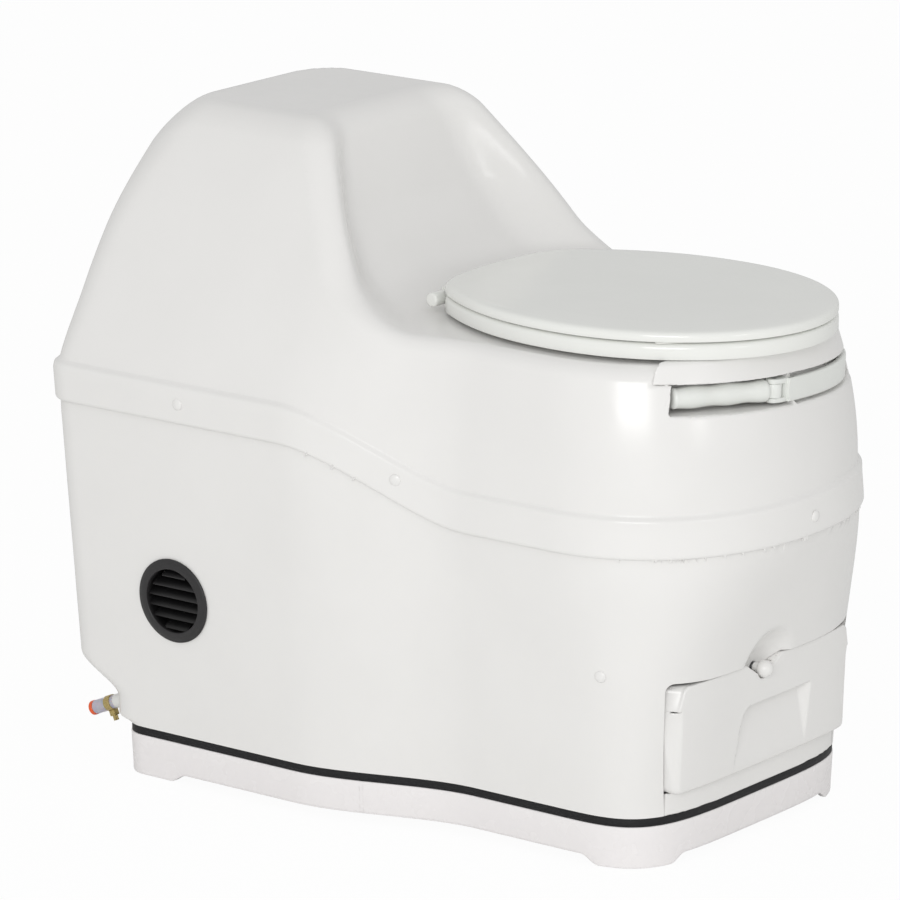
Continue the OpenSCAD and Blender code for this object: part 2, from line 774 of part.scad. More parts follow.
module drum_door() {
  color(inner_grey) at_drum() difference() {
    union() {
      intersection() {
        difference() {
          cyl_y(drum_r - drum_wall - 0.6, door_y1 + 1, door_y2 - 1);
          cyl_y(drum_r - drum_wall - 3.6, door_y1, door_y2);
        }
        translate([door_pin_x - 3, door_y1, 90]) cube([door_w + 3, door_y2 - door_y1, 80]);
      }
      translate([door_pin_x, 0, door_pin_z]) cyl_y(5, door_y1 + 1, door_y2 - 1);
    }
    translate([door_pin_x, 0, door_pin_z]) cyl_y(2 + run_gap, door_y1 - 10, door_y2 + 10);
  }
}

module door_pin() {
  color(steel) at_drum() translate([door_pin_x, 0, door_pin_z]) {
    cyl_y(2, door_y1 - 8, door_y2 + 8);
  }
  color(steel) at_drum() intersection() {
    cyl_y(drum_r - drum_wall, -300, 0);
    for (y = [door_y1 - 6, door_y2 + 1]) translate([door_pin_x - 3, y, door_pin_z]) cube([6, 5, 20]);
  }
}

// ---- Frames and bearings ----
front_frame_y = -312;
rear_frame_y = 106;
frame_t = 3;
frame_low = skirt_lift + 3;

module plate(y) {
  translate([0, y + frame_t, 0]) rotate([90, 0, 0]) linear_extrude(frame_t) children();
}

module front_frame() {
  color(steel) difference() {
    plate(front_frame_y) difference() {
      union() {
        for (k = [-1, 1]) translate([k * 176 - 10, frame_low]) square([20, 200 - frame_low]);
        translate([-186, 172]) square([372, 30]);
        polygon([[-150, 200], [150, 200], [60, 330], [170, 480], [170, 530], [128, 530], [20, 400], [-50, 400]]);
      }
      translate([0, drum_z]) circle(20);
      translate([hub_x, crank_z]) circle(sleeve_r + 0.4);
      translate([lock_x, lock_z]) circle(8);
    }
  }
}

module rear_frame() {
  color(steel) plate(rear_frame_y) difference() {
    union() {
      for (k = [-1, 1]) translate([k * 190 - 14, frame_low]) square([28, 190]);
      polygon([[-204, 180], [204, 180], [70, 400], [-70, 400]]);
    }
    translate([0, drum_z]) circle(20);
  }
}

module bearing(y, side) {
  at_drum() difference() {
    union() {
      cyl_y(20, y - 1, y + frame_t + 1);
      cyl_y(30, side < 0 ? y - 3 : y + frame_t, side < 0 ? y : y + frame_t + 3);
    }
    cyl_y(axle_r + run_gap, y - 20, y + 20);
  }
}

module front_bearing() {
  color(inner_grey) bearing(front_frame_y, -1);
}

module rear_bearing() {
  color(inner_grey) bearing(rear_frame_y, 1);
}

// ---- Drum lock ----
stem_r = 4;

module lock_knob() {
  color(shell_white) translate([lock_x, 0, lock_z]) difference() {
    rotate([90, 0, 0]) rotate_extrude() polygon(concat([[0, 396.5]],
      [for (a = [14:14:126]) [9.5 * sin(a), 387 + 9.5 * cos(a)]], [[5.2, 381.4], [5.2, 373.5], [0, 373.5]]));
    cyl_y(stem_r, -383, -370);
  }
}

module lock_stem() {
  color(steel) translate([lock_x, 0, lock_z]) cyl_y(stem_r, -383, drum_front_y - 2);
}

module lock_guide() {
  color(inner_grey) translate([lock_x, 0, lock_z]) difference() {
    union() {
      cyl_y(8, front_frame_y - 20, front_frame_y + frame_t);
      cyl_y(12, front_frame_y - 3, front_frame_y);
    }
    cyl_y(stem_r + run_gap, -400, -300);
  }
}

// ---- Finishing drawer ----
box_half_w = 146;
box_z1 = 85.5;
box_z2 = 166;
box_front_y = -364;
box_rear_y = 20;
box_t = 3;

module finishing_drawer() {
  color(inner_grey) difference() {
    translate([-box_half_w, box_front_y, box_z1]) cube([2 * box_half_w, box_rear_y - box_front_y, box_z2 - box_z1]);
    translate([-box_half_w + box_t, box_front_y + box_t, box_z1 + box_t])
      cube([2 * (box_half_w - box_t), box_rear_y - box_front_y - 2 * box_t, box_z2]);
  }
}

// Front panel: follows the rounded front but stands straighter, with a finger pocket and the lock's notch
panel_levels = [drawer_low_z, 120, 165, drawer_top_z];
function panel_plan(z, g) = let (w = 225 + g, d = 120 + 50 * rise(z), n = 4.6,
    y0 = d - 380 - 14 * rise(z) - g)
  mirrored([for (i = [0:front_steps]) let (a = 90 * i / front_steps)
    [w * pow(sin(a), 2 / n), y0 - d * pow(cos(a), 2 / n)]]);

// Plan of the panel's sides, which slant back to the wall, drawn in by g
function panel_sides(g) = mirrored([[0, -460], [159 - g, -460], [159 - g, -376], [172 - g, box_front_y + 12],
  [172 - g, box_front_y + 14 + g / 4], [150 - g, box_front_y + 14 + g / 4], [150 - g, box_front_y + g / 4],
  [0, box_front_y + g / 4]]);

module drawer_front() {
  color(shell_white) difference() {
    intersection() {
      loft(panel_levels, [for (z = panel_levels) panel_plan(z, 0)]);
      front_slot(0, drawer_low_z, drawer_top_z);
      linear_extrude_between(drawer_low_z, drawer_top_z) polygon(panel_sides(0));
    }
    intersection() {
      loft([drawer_low_z + 3, 165, drawer_top_z - 3],
        [for (z = [drawer_low_z, 165, drawer_top_z]) panel_plan(z, -5)]);
      linear_extrude_between(drawer_low_z, drawer_top_z) polygon(panel_sides(4));
    }
    lug_prism(1.2);
    translate([lock_x, 0, lock_z]) cyl_y(11.5, -460, -300);
    rotate([90, 0, 0]) linear_extrude(460) polygon([[-62, drawer_low_z - 1], [-50, 140], [-44, 152], [-34, 158],
      [74, 158], [66, drawer_low_z - 1]]);
  }
  color(shell_white) intersection() {
    loft(panel_levels, [for (z = panel_levels) panel_plan(z, -11)]);
    difference() {
      translate([-68, -460, drawer_low_z]) cube([148, 460 + box_front_y, 80]);
      loft([drawer_low_z - 1, 165, drawer_top_z], [for (z = [drawer_low_z, 165, drawer_top_z]) panel_plan(z, -14)]);
    }
  }
}

module drawer_runners() {
  color(steel) both_sides() {
    translate([box_half_w - 12, -340, box_z1 - 3.3]) cube([32, 360, 3]);
    translate([box_half_w + 2, -340, box_z1 - 0.3]) cube([3, 360, 20]);
  }
}

// ---- Evaporating chamber ----
heater_z = skirt_lift + 7;

module evaporating_tray() {
  color(inner_grey) difference() {
    translate([-218, 122, heater_z + 4]) cube([436, 190, 28]);
    translate([-215, 125, heater_z + 7]) cube([430, 184, 30]);
  }
}

module heater_element() {
  color(steel) {
    for (i = [0:3]) translate([0, 140 + i * 45, heater_z]) cyl_x(4, -150, 150);
    for (i = [0:2]) translate([i % 2 == 0 ? 150 : -150, 162.5 + i * 45, heater_z])
      rotate([0, 0, i % 2 == 0 ? -90 : 90]) rotate_extrude(angle = 180) translate([22.5, 0]) circle(4, $fn = 32);
  }
}

module thermostat() {
  color(shell_white) translate([110, rear_frame_y + frame_t, 200]) {
    cube([36, 18, 46]);
    translate([18, 16, 23]) rotate([-90, 0, 0]) cylinder(r = 9, h = 6);
  }
}

// ---- Exhaust ----
fan_half = 56;
fan_depth = 38;
fan_r = 50;
blade_count = 7;

module at_fan() {
  translate([0, fan_y, collar_z]) children();
}

module fan_housing() {
  color(inner_grey) at_fan() difference() {
    translate([-fan_half, 0, -fan_half]) cube([2 * fan_half, fan_depth, 2 * fan_half]);
    cyl_y(fan_r, -eps, fan_depth + eps);
    for (x = [-1, 1], z = [-1, 1]) translate([x * 49, 0, z * 49]) cyl_y(2.2, -eps, fan_depth + eps);
  }
}

module fan_motor() {
  color(inner_grey) at_fan() {
    cyl_y(19, 0, 16);
    cyl_y(3, 0, 34);
    for (i = [0:3]) rotate([0, 45 + i * 90, 0]) translate([-2, 0, 0]) cube([4, 5, fan_r]);
  }
}

module fan_impeller() {
  color(seal_black) at_fan() difference() {
    union() {
      cyl_y(21, 17, 35);
      intersection() {
        cyl_y(fan_r - 2, 17.5, 36);
        for (i = [0:blade_count - 1]) rotate([0, i * 360 / blade_count, 0]) translate([0, 26, 0])
          rotate([0, 0, 40]) translate([-1, -12, 12]) cube([2, 24, 40]);
      }
    }
    cyl_y(3 + run_gap, 10, 40);
  }
}

module vent_collar() {
  color(shell_white) translate([0, 0, collar_z]) difference() {
    union() {
      cyl_y(collar_r, fan_y + fan_depth, 441);
      translate([-fan_half, fan_y + fan_depth, -fan_half]) cube([2 * fan_half, 3, 2 * fan_half]);
    }
    cyl_y(collar_r - 2, fan_y, 460);
  }
}

// ---- Drain and cable entry ----
module drain_spigot() {
  color(shell_white) at_drain() difference() {
    union() {
      translate([0, 0, -24]) cylinder(r = 5, h = 44);
      translate([0, 0, -22]) cylinder(r = 9.8, h = 3);
      translate([0, 0, -22]) cylinder(r = 8, h = 25);
    }
    translate([0, 0, -30]) cylinder(r = 3.5, h = 70);
  }
}

module drain_hose() {
  color([0.88, 0.87, 0.95]) at_drain() translate([0, 0, 3.3]) difference() {
    cylinder(r = 8, h = 33);
    translate([0, 0, -eps]) cylinder(r = 5, h = 17.5);
    translate([0, 0, 16]) cylinder(r = 6, h = 20);
  }
}

module hose_clamp() {
  color(zinc) at_drain() translate([0, 0, 8]) {
    difference() {
      cylinder(r = 9, h = 9);
      translate([0, 0, -eps]) cylinder(r = 8, h = 12);
    }
    translate([-4, 8.2, 0.5]) cube([8, 7, 8]);
    translate([0, 0, 4.5]) rotate([-90, 0, 0]) translate([0, 0, 15]) cylinder(r = 3.2, h = 6);
  }
}

module drain_plug() {
  color(plug_orange) at_drain() {
    translate([0, 0, 22]) cylinder(r = 6 - run_gap, h = 16);
    translate([0, 0, 36.6]) cylinder(r = 8.4, h = 5);
  }
}

module cable_gland() {
  color(seal_black) translate([gland_x, 0, gland_z]) difference() {
    union() {
      cyl_y(7.8, 340, 357);
      cyl_y(12, 354.5, 360);
      cyl_y(9.5, 360, 372);
    }
    cyl_y(4, 330, 380);
  }
}

base_tray();
foot_pads();
base_seal();
lower_shell();
front_sill();
upper_shell();
shell_screws();
screw_caps();
vent_louvre();
bowl_liner();
seat_ring();
seat_bumpers();
seat_lid();
lid_bumpers();
hinge_posts();
hinge_pins();
crank_arm();
grip_pin();
crank_grip();
crank_bushing();
crank_sleeve();
crank_sprocket();
drive_chain();
drum_sprocket();
drum_axles();
drum_shell();
drum_front_disc();
drum_rear_disc();
mixing_bars();
drum_door();
door_pin();
front_frame();
rear_frame();
front_bearing();
rear_bearing();
lock_knob();
lock_stem();
lock_guide();
finishing_drawer();
drawer_front();
drawer_runners();
evaporating_tray();
heater_element();
thermostat();
fan_housing();
fan_motor();
fan_impeller();
vent_collar();
drain_spigot();
drain_hose();
hose_clamp();
drain_plug();
cable_gland();
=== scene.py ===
import math
import bpy
import numpy as np
from mathutils import Matrix, Vector


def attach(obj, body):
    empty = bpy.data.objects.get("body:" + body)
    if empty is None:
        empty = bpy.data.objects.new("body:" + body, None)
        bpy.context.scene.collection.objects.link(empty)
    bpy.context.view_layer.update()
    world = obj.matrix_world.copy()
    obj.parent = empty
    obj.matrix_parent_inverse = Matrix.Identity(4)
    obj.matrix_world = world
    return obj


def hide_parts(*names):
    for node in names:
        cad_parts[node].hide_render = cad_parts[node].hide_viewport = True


# Self-contained composting toilet: two moulded shells on a base tray, seat, crank, drum lock and drawer
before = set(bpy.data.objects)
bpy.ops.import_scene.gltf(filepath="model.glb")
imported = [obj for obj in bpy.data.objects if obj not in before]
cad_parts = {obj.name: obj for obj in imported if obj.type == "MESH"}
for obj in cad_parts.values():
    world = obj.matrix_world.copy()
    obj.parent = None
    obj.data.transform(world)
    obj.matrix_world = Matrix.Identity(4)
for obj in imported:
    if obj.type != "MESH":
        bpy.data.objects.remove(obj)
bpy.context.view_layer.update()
mm = 0.001
print("frame loaded:", len(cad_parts), "nodes")

# camera stands off the left front corner, a little above
cameraSet = {"place": (-5.4017, -4.0872, 2.1668), "turn": (75.2, 0, -52.5), "lens": 249.2}
cameraData = bpy.data.cameras.new("camera")
cameraData.lens = cameraSet["lens"]
cameraData.sensor_width = 36
cameraData.clip_end = 60
camera = bpy.data.objects.new("camera", cameraData)
camera.location = cameraSet["place"]
camera.rotation_euler = [math.radians(a) for a in cameraSet["turn"]]
bpy.context.collection.objects.link(camera)
bpy.context.scene.camera = camera


# small helpers for materials
def toLinear(hexText):
    parts = [int(hexText[i:i + 2], 16) / 255 for i in (1, 3, 5)]
    return tuple(p / 12.92 if p <= 0.04045 else ((p + 0.055) / 1.055) ** 2.4 for p in parts) + (1.0,)


def feed(tree, node, links):  # {input: (source node, its output)}
    for key, (source, output) in links.items():
        tree.links.new(source.outputs[output], node.inputs[key])


def addNode(tree, kind, settings=None, links=None):
    node = tree.nodes.new("ShaderNode" + kind)
    for key, value in (settings or {}).items():
        if isinstance(key, int) or key in node.inputs:
            node.inputs[key].default_value = value
        else:
            setattr(node, key, value)
    feed(tree, node, links or {})
    return node


def startMaterial(name, settings):
    material = bpy.data.materials.new(name)
    material.use_nodes = True
    tree = material.node_tree
    tree.nodes.clear()
    shader = addNode(tree, "BsdfPrincipled", settings)
    addNode(tree, "OutputMaterial", None, {"Surface": (shader, "BSDF")})
    place = addNode(tree, "TexCoord")
    return material, tree, shader, place


def ramp(tree, source, stops):
    node = addNode(tree, "ValToRGB", None, {"Fac": source})
    while len(node.color_ramp.elements) < len(stops):
        node.color_ramp.elements.new(0.5)
    for element, (at, colour) in zip(node.color_ramp.elements, stops):
        element.position = at
        element.color = toLinear(colour) if isinstance(colour, str) else (colour, colour, colour, 1)
    return node


# Gloss-coated moulded plastic, as thermoformed ABS: clean sheen with broad highlights, a sheet that
# is never quite flat, a fine orange peel and the faintest change of white over a hand's breadth
def glossPlastic(name, light, dark, rough, peel=0.002, wave=0.03, peelSize=2.6):
    material, tree, shader, place = startMaterial(name, {"IOR": 1.49, "Specular IOR Level": 0.5})
    spot = (place, "Object")
    drift = addNode(tree, "TexNoise", {"Scale": 9.0, "Detail": 3.0, "Roughness": 0.5}, {"Vector": spot})
    tint = ramp(tree, (drift, "Fac"), [(0.32, dark), (0.66, light)])
    rub = addNode(tree, "TexNoise", {"Scale": 38.0, "Detail": 2.0, "Roughness": 0.5}, {"Vector": spot})
    gloss = addNode(tree, "MapRange", {"From Min": 0.3, "From Max": 0.75, "To Min": rough - 0.015,
                                       "To Max": rough + 0.02}, {"Value": (rub, "Fac")})
    skin = addNode(tree, "TexNoise", {"Scale": 1000 / peelSize, "Detail": 1.5}, {"Vector": spot})
    fine = addNode(tree, "Bump", {"Strength": 0.5, "Distance": peel * mm}, {"Height": (skin, "Fac")})
    swell = addNode(tree, "TexNoise", {"Scale": 14.0, "Detail": 1.0}, {"Vector": spot})
    broad = addNode(tree, "Bump", {"Strength": 0.6, "Distance": wave * mm},
                    {"Height": (swell, "Fac"), "Normal": (fine, "Normal")})
    feed(tree, shader, {"Base Color": (tint, "Color"), "Roughness": (gloss, "Result"),
                        "Normal": (broad, "Normal")})
    return material


# One noise for colour and roughness (the noise's range, then its own) and for a grain, if one is given
def speckled(name, settings, noise, stops, rough, grain=None, stretch=None):
    material, tree, shader, place = startMaterial(name, settings)
    spot = (place, "Object")
    if stretch:
        spot = (addNode(tree, "Mapping", {"Scale": stretch}, {"Vector": spot}), "Vector")
    speck = addNode(tree, "TexNoise", noise, {"Vector": spot})
    tint = ramp(tree, (speck, "Fac"), stops)
    ranges = dict(zip(("From Min", "From Max", "To Min", "To Max"), rough))
    dull = addNode(tree, "MapRange", ranges, {"Value": (speck, "Fac")})
    feed(tree, shader, {"Base Color": (tint, "Color"), "Roughness": (dull, "Result")})
    if grain:
        bump = addNode(tree, "Bump", {"Strength": grain[0], "Distance": grain[1] * mm},
                       {"Height": (speck, "Fac")})
        feed(tree, shader, {"Normal": (bump, "Normal")})
    return material


shellPlastic = glossPlastic("gloss white thermoformed ABS", "#edecea", "#ebeae8", 0.22)

# stage: pale floor and soft light
stageSet = {"floor": 40.0, "floorColour": "#f6f6f5", "floorGlow": 0.955, "worldLevel": 0.66}
bpy.ops.mesh.primitive_plane_add(size=stageSet["floor"], location=(0, 0, -0.0005))
floor = bpy.context.object
floor.name = "floor"
floorMaterial, tree, shader, place = startMaterial(
    "pale studio floor",
    {"Base Color": toLinear(stageSet["floorColour"]), "Roughness": 0.9, "Specular IOR Level": 0.1})
ray = addNode(tree, "LightPath")
glow = addNode(tree, "Emission", {"Color": (1, 1, 1, 1), "Strength": 1.0})
share = addNode(tree, "Math", {"operation": "MULTIPLY", 1: stageSet["floorGlow"]}, {0: (ray, "Is Camera Ray")})
both = addNode(tree, "MixShader", None, {0: (share, 0), 1: (shader, "BSDF"), 2: (glow, "Emission")})
feed(tree, tree.nodes["Material Output"], {"Surface": (both, 0)})
floor.data.materials.append(floorMaterial)

world = bpy.data.worlds.new("studio")
bpy.context.scene.world = world
world.use_nodes = True
tree = world.node_tree
tree.nodes.clear()
ray = addNode(tree, "LightPath")
level = addNode(tree, "MapRange", {"To Min": stageSet["worldLevel"], "To Max": 1.0},
                {"Value": (ray, "Is Camera Ray")})
sky = addNode(tree, "Background", {"Color": (1, 1, 1, 1)}, {"Strength": (level, "Result")})
addNode(tree, "OutputWorld", None, {"Surface": (sky, "Background")})

lampSet = {  # place, aim, size across and up, power in watts
    "keySoftbox": ((-4.4, -2.6, 2.0), (0, 0, 0.4), 2.2, 1.6, 80),
    "frontSoftbox": ((-1.15, -4.6, 1.35), (0, -0.1, 0.35), 0.6, 0.9, 9),
}
for name, (at, aim, across, up, power) in lampSet.items():
    lampData = bpy.data.lights.new(name, "AREA")
    lampData.shape = "RECTANGLE"
    lampData.size = across
    lampData.size_y = up
    lampData.energy = power
    lamp = bpy.data.objects.new(name, lampData)
    lamp.location = at
    lamp.rotation_euler = (Vector(aim) - Vector(at)).to_track_quat("-Z", "Y").to_euler()
    bpy.context.collection.objects.link(lamp)
view = bpy.context.scene.view_settings
view.view_transform = "Standard"
print("stage and lamps set")

# form of the moulded body, in millimetres
form = {"footZ": 58, "seamFront": 354, "seamRear": 430, "rearHalf": 257, "frontHalf": 207, "footFront": 372,
        "footRear": 334, "frontDepth": 136, "frontPower": 4.2, "ledgeZ": 86, "ledgeH": 46, "ledgeOut": 53,
        "draft": 20 / 371, "tuckZ": 400, "housingZ": 466, "deckZ": 558, "roofZ": 620, "topZ": 759, "wall": 4.5,
        "lipH": 45, "lipOut": 5, "cornerR": 32, "deckEdge": 16, "roofR": 25, "roofRear": 55}
scoopSet = {"ridge": 12, "lean": 0.64, "square": 0.842, "deep": 46, "flat": 0.57, "foot": 50}
crankZ, hubX, crankTilt = 508, 140, math.radians(2.8)


def smooth(t):
    k = np.clip(t, 0, 1)
    return k * k * (3 - 2 * k)


def mixIn(a, b, t):
    return a + (b - a) * t


def bothIn(a, b, r):  # the part inside both a and b, its edge rounded by r
    return np.minimum(-r, np.maximum(a, b)) + np.hypot(np.maximum(a + r, 0), np.maximum(b + r, 0))


def eitherIn(a, b, r):  # the part inside a or b, its inner corner filled by r
    return -bothIn(-a, -b, r)


def within(*fields):  # the part inside all of them, its edges sharp
    whole = fields[0]
    for field in fields[1:]:
        whole = np.maximum(whole, field)
    return whole


def seam(y):
    return mixIn(form["seamFront"], form["seamRear"], smooth((y + 140) / 225))


def rise(z):
    return np.clip((z - form["footZ"]) / (form["seamFront"] - form["footZ"]), 0, 1)


def tuck(z):  # how far the front draws in towards the deck
    return 0.00105 * np.maximum(0, z - form["tuckZ"]) ** 2


def stepIn(z):  # the upper wall stands 2 mm further in than the lower one
    return 2 * smooth((z - form["seamFront"]) / 40)


def frontY(z):
    return form["footFront"] + 12 * rise(z) + 53 * rise(z) ** 2 - stepIn(z) - tuck(z)


def frontW(z):
    return form["frontHalf"] + 28 * rise(z) - 7 * rise(z) ** 2 - stepIn(z) - 0.75 * tuck(z)


def sideW(z):
    h = np.maximum(0, z - form["housingZ"])
    flare = form["draft"] * (np.minimum(z, form["housingZ"]) - form["footZ"])
    return form["rearHalf"] + flare - 0.3 * h - 0.0006 * h * h


def rearY(z):
    h = np.maximum(0, z - form["housingZ"])
    step = 17 * smooth((z - form["footZ"]) / 7)
    step = step + form["ledgeOut"] * smooth((z - form["ledgeZ"]) / form["ledgeH"])
    lean = 0.04 * np.maximum(0, np.minimum(z, form["housingZ"]) - form["ledgeZ"] - form["ledgeH"])
    return form["footRear"] + step + lean - 0.05 * h - 0.0004 * h * h


def sideAt(y, z):
    return mixIn(frontW(z), sideW(z), smooth((y + 135) / 216))


def roundFront(x, y, w, d, f, n):  # distance outside a plan whose front is a superellipse
    y0 = d - f
    a = np.maximum(np.abs(x) / w, 1e-6)
    b = np.maximum((y0 - y) / d, 1e-6)
    q = (a ** n + b ** n) ** (1 / n)
    slope = np.hypot(q ** (1 - n) * a ** (n - 1) / w, q ** (1 - n) * b ** (n - 1) / d)
    return (q - 1) / slope


def planDepth(z):  # depth of the rounded part of the plan
    return form["frontDepth"] + 53 * rise(z) - 0.3 * tuck(z)


def planPower(z):  # power of its superellipse
    return form["frontPower"] - 0.4 * rise(z) - 1.6 * rise(z) ** 2


def bodyPlan(x, y, z):
    d, f = planDepth(z), frontY(z)
    return np.where(y < d - f, roundFront(x, y, frontW(z), d, f, planPower(z)), np.abs(x) - sideAt(y, z))


def bodyField(x, y, z):
    corner = mixIn(form["cornerR"], 45, smooth((z - form["housingZ"]) / 90))
    corner = corner + 25 * smooth((z - form["roofZ"]) / (form["topZ"] - form["roofZ"]))
    return bothIn(bodyPlan(x, y, z), y - rearY(z), corner)


def levelAt(x, z):  # height measured square to the stored crank, which rises to the left about its hub
    return crankZ + (z - crankZ) * math.cos(crankTilt) + (x - hubX) * math.sin(crankTilt)


# The lip: a band that stands out above the seam, rounded at its lower edge, faired into the wall above
def lipField(y, z):
    t = z - seam(y)
    low = np.clip(3 - t, 0, 3)  # height left of the rounded lower edge
    edge = 1.8 * (low / 3) ** 2
    return (form["lipOut"] - edge) * (1 - smooth((t - form["lipH"] + 4) / 6))


recessSet = {"z": (492, 524.7), "grip": (-162, -14, 45), "arm": (-14, 166, 13), "mouth": 2.6, "corner": 4}
hoodSet = {"z": 524.7, "top": 562, "thick": 12, "half": 187, "rearY": -345.5, "gap": 0.5}


def recessField(x, y, z, body):
    (low, high), level = recessSet["z"], levelAt(x, z)
    band = within(low - level, level - high, y + 250)  # only in the front wall
    cuts = []
    for x1, x2, deep in (recessSet["grip"], recessSet["arm"]):
        # the left end wall leans out towards its foot
        leaning = x1 - 0.3 * (crankZ - level) * (x1 < -100)
        pocket = bothIn(band, np.maximum(leaning - x, x - x2), recessSet["corner"])
        cuts.append(bothIn(pocket, -deep - body, recessSet["corner"]))
    return np.minimum(*cuts)


def upperField(x, y, z):
    body = bodyField(x, y, z)
    ridge = scoopSet["ridge"] + scoopSet["lean"] * (np.maximum(z, form["deckZ"]) - 572)
    u = np.abs(x) / (sideAt(ridge, z) - 12)
    hollow = scoopSet["deep"] * np.clip((785 - z) / 130, 0, 1) ** 0.8
    back = ridge + hollow * (1 - smooth((u - scoopSet["flat"]) / 0.43)) - y
    housing = bothIn(back * scoopSet["square"], z - form["topZ"], form["roofR"])
    top = eitherIn(z - form["deckZ"], housing, scoopSet["foot"])
    edge = mixIn(form["deckEdge"], form["roofR"], smooth((z - 560) / 40))
    edge = mixIn(edge, form["roofRear"], smooth((y - 300) / 80) * smooth((z - form["roofZ"]) / 80))
    whole = bothIn(body - lipField(y, z), top, edge)
    gap = hoodSet["gap"]
    notch = within(hoodSet["z"] - gap - levelAt(x, z), np.abs(x) - hoodSet["half"] - gap,
                   y - hoodSet["rearY"] - gap, -hoodSet["thick"] - gap - body)
    opened = np.minimum(recessField(x, y, z, body), notch)
    return bothIn(whole, -opened, recessSet["mouth"])


def steps(*stretches):  # grid planes: (from, to, spacing) one after another
    planes = []
    for start, end, size in stretches:
        count = max(1, round((end - start) / size))
        planes += [start + (end - start) * i / count for i in range(count)]
    return np.array(planes + [stretches[-1][1]], float)


# Net of quads over a field's surface: one corner per grid cell, then every corner is settled on the surface
def netOver(field, xs, ys, ts, lift, pinned=()):
    spots = np.meshgrid(xs, ys, ts, indexing="ij")
    spots[2] = lift(spots[1], spots[2])
    values = field(*spots)
    inside = values < 0
    cells = tuple(n - 1 for n in values.shape)
    total = np.zeros(cells + (3,))
    count = np.zeros(cells, int)
    hits = []
    for axis in range(3):
        low, high = [slice(None)] * 3, [slice(None)] * 3
        low[axis], high[axis] = slice(0, -1), slice(1, None)
        low, high = tuple(low), tuple(high)
        hit = inside[low] != inside[high]
        share = np.where(hit, values[low] / np.where(hit, values[low] - values[high], 1), 0)
        hits.append((hit, inside[low]))
        u, v = [k for k in range(3) if k != axis]
        for du in (0, 1):
            for dv in (0, 1):
                part = [slice(None)] * 3
                part[u] = slice(du, values.shape[u] - 1 + du)
                part[v] = slice(dv, values.shape[v] - 1 + dv)
                part = tuple(part)
                count += hit[part]
                for k in range(3):
                    along = spots[k][low] + (spots[k][high] - spots[k][low]) * share
                    total[..., k] += np.where(hit, along, 0)[part]
    used = count > 0
    names = np.full(cells, -1)
    names[used] = np.arange(used.sum())
    points = total[used] / count[used][:, None]
    layer = np.argwhere(used)[:, 2]
    quads = []
    for axis, (hit, innerFirst) in enumerate(hits):
        u, v = [k for k in range(3) if k != axis]
        at = np.argwhere(hit)
        for k in (u, v):
            at = at[(at[:, k] > 0) & (at[:, k] < values.shape[k] - 1)]
        corners = []
        for du, dv in ((1, 1), (0, 1), (0, 0), (1, 0)):
            cell = at.copy()
            cell[:, u] -= du
            cell[:, v] -= dv
            corners.append(names[tuple(cell.T)])
        quad = np.stack(corners, 1)
        turn = innerFirst[tuple(at.T)] == (axis == 1)
        quad[turn] = quad[turn][:, ::-1]
        quads.append(quad)
    rows = {row: layer == row % cells[2] for row in pinned}
    start = points.copy()
    for step in range(7):
        for row, chosen in rows.items():
            points[chosen, 2] = lift(points[chosen, 1], ts[0] if row == 0 else ts[-1])
        value = field(*points.T)
        grad = np.stack([field(*(points + e).T) - field(*(points - e).T) for e in np.eye(3) * 0.05], 1) / 0.1
        for chosen in rows.values():
            grad[chosen, 2] = 0
        move = value / np.maximum((grad ** 2).sum(1), 0.3)
        points -= np.clip(move, -3, 3)[:, None] * grad
    strayed = np.linalg.norm(points - start, axis=1) > 5
    points[strayed] = start[strayed]
    for row, chosen in rows.items():
        points[chosen, 2] = lift(points[chosen, 1], ts[0] if row == 0 else ts[-1])
    return points, np.concatenate(quads)


def meshOf(name, points, quads):
    mesh = bpy.data.meshes.new(name)
    mesh.from_pydata((points * mm).tolist(), [], quads.tolist())
    mesh.update()
    mesh.validate()
    piece = bpy.data.objects.new(name, mesh)
    bpy.context.collection.objects.link(piece)
    return piece


def pick(piece):  # only this piece selected and active
    bpy.ops.object.select_all(action="DESELECT")
    piece.select_set(True)
    bpy.context.view_layer.objects.active = piece


def applyModifier(piece, kind, **settings):
    pick(piece)
    modifier = piece.modifiers.new(kind.lower(), kind)
    for key, value in settings.items():
        setattr(modifier, key, value)
    bpy.ops.object.modifier_apply(modifier=modifier.name)


def settle(piece):  # its place, turn and size applied to the mesh
    pick(piece)
    bpy.ops.object.transform_apply(location=True, rotation=True, scale=True)
    return piece


def smoothed(piece, angle=35):
    pick(piece)
    bpy.ops.object.shade_smooth_by_angle(angle=math.radians(angle))


def finish(piece, material, body, slot, *nodes, angle=35):
    smoothed(settle(piece), angle)
    piece.data.materials.clear()
    piece.data.materials.append(material)
    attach(piece, body)
    if nodes:
        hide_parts(*nodes)
    print(piece.name, len(piece.data.polygons), "faces")


def shellOf(name, field, planes, lift, pinned):  # a net over the field, given its wall inwards
    points, quads = netOver(field, *[steps(*planes[k]) for k in "xyt"], lift, pinned)
    piece = meshOf(name, points, quads)
    applyModifier(piece, "SOLIDIFY", thickness=form["wall"] * mm, offset=-1)
    return piece


# upper shell: one net over the whole form
upperSet = {"x": [(-292, -260, 8), (-260, -193, 6.7), (-193, -150, 1.4), (-150, -24, 7), (-24, -12, 2),
                  (-12, 158, 7), (158, 193, 2), (193, 260, 6.7), (260, 292, 8)],
            "y": [(-452, -330, 2.9), (-330, 380, 7.6), (380, 440, 6), (440, 454, 7)],
            "t": [(0, 2, 1), (2, 8, 2), (8, 38, 6), (38, 50, 1.5), (50, 132, 6.8), (132, 192, 2), (192, 212, 3),
                  (212, 340, 6.8), (340, 378, 4), (378, 412, 3.4)]}


def upperLift(y, t):
    base = seam(y)
    rising = base + 50 + (t - 50) * (form["deckZ"] - base - 50) / 154
    return np.where(t < 50, base + t, np.where(t < 204, rising, 354 + t))


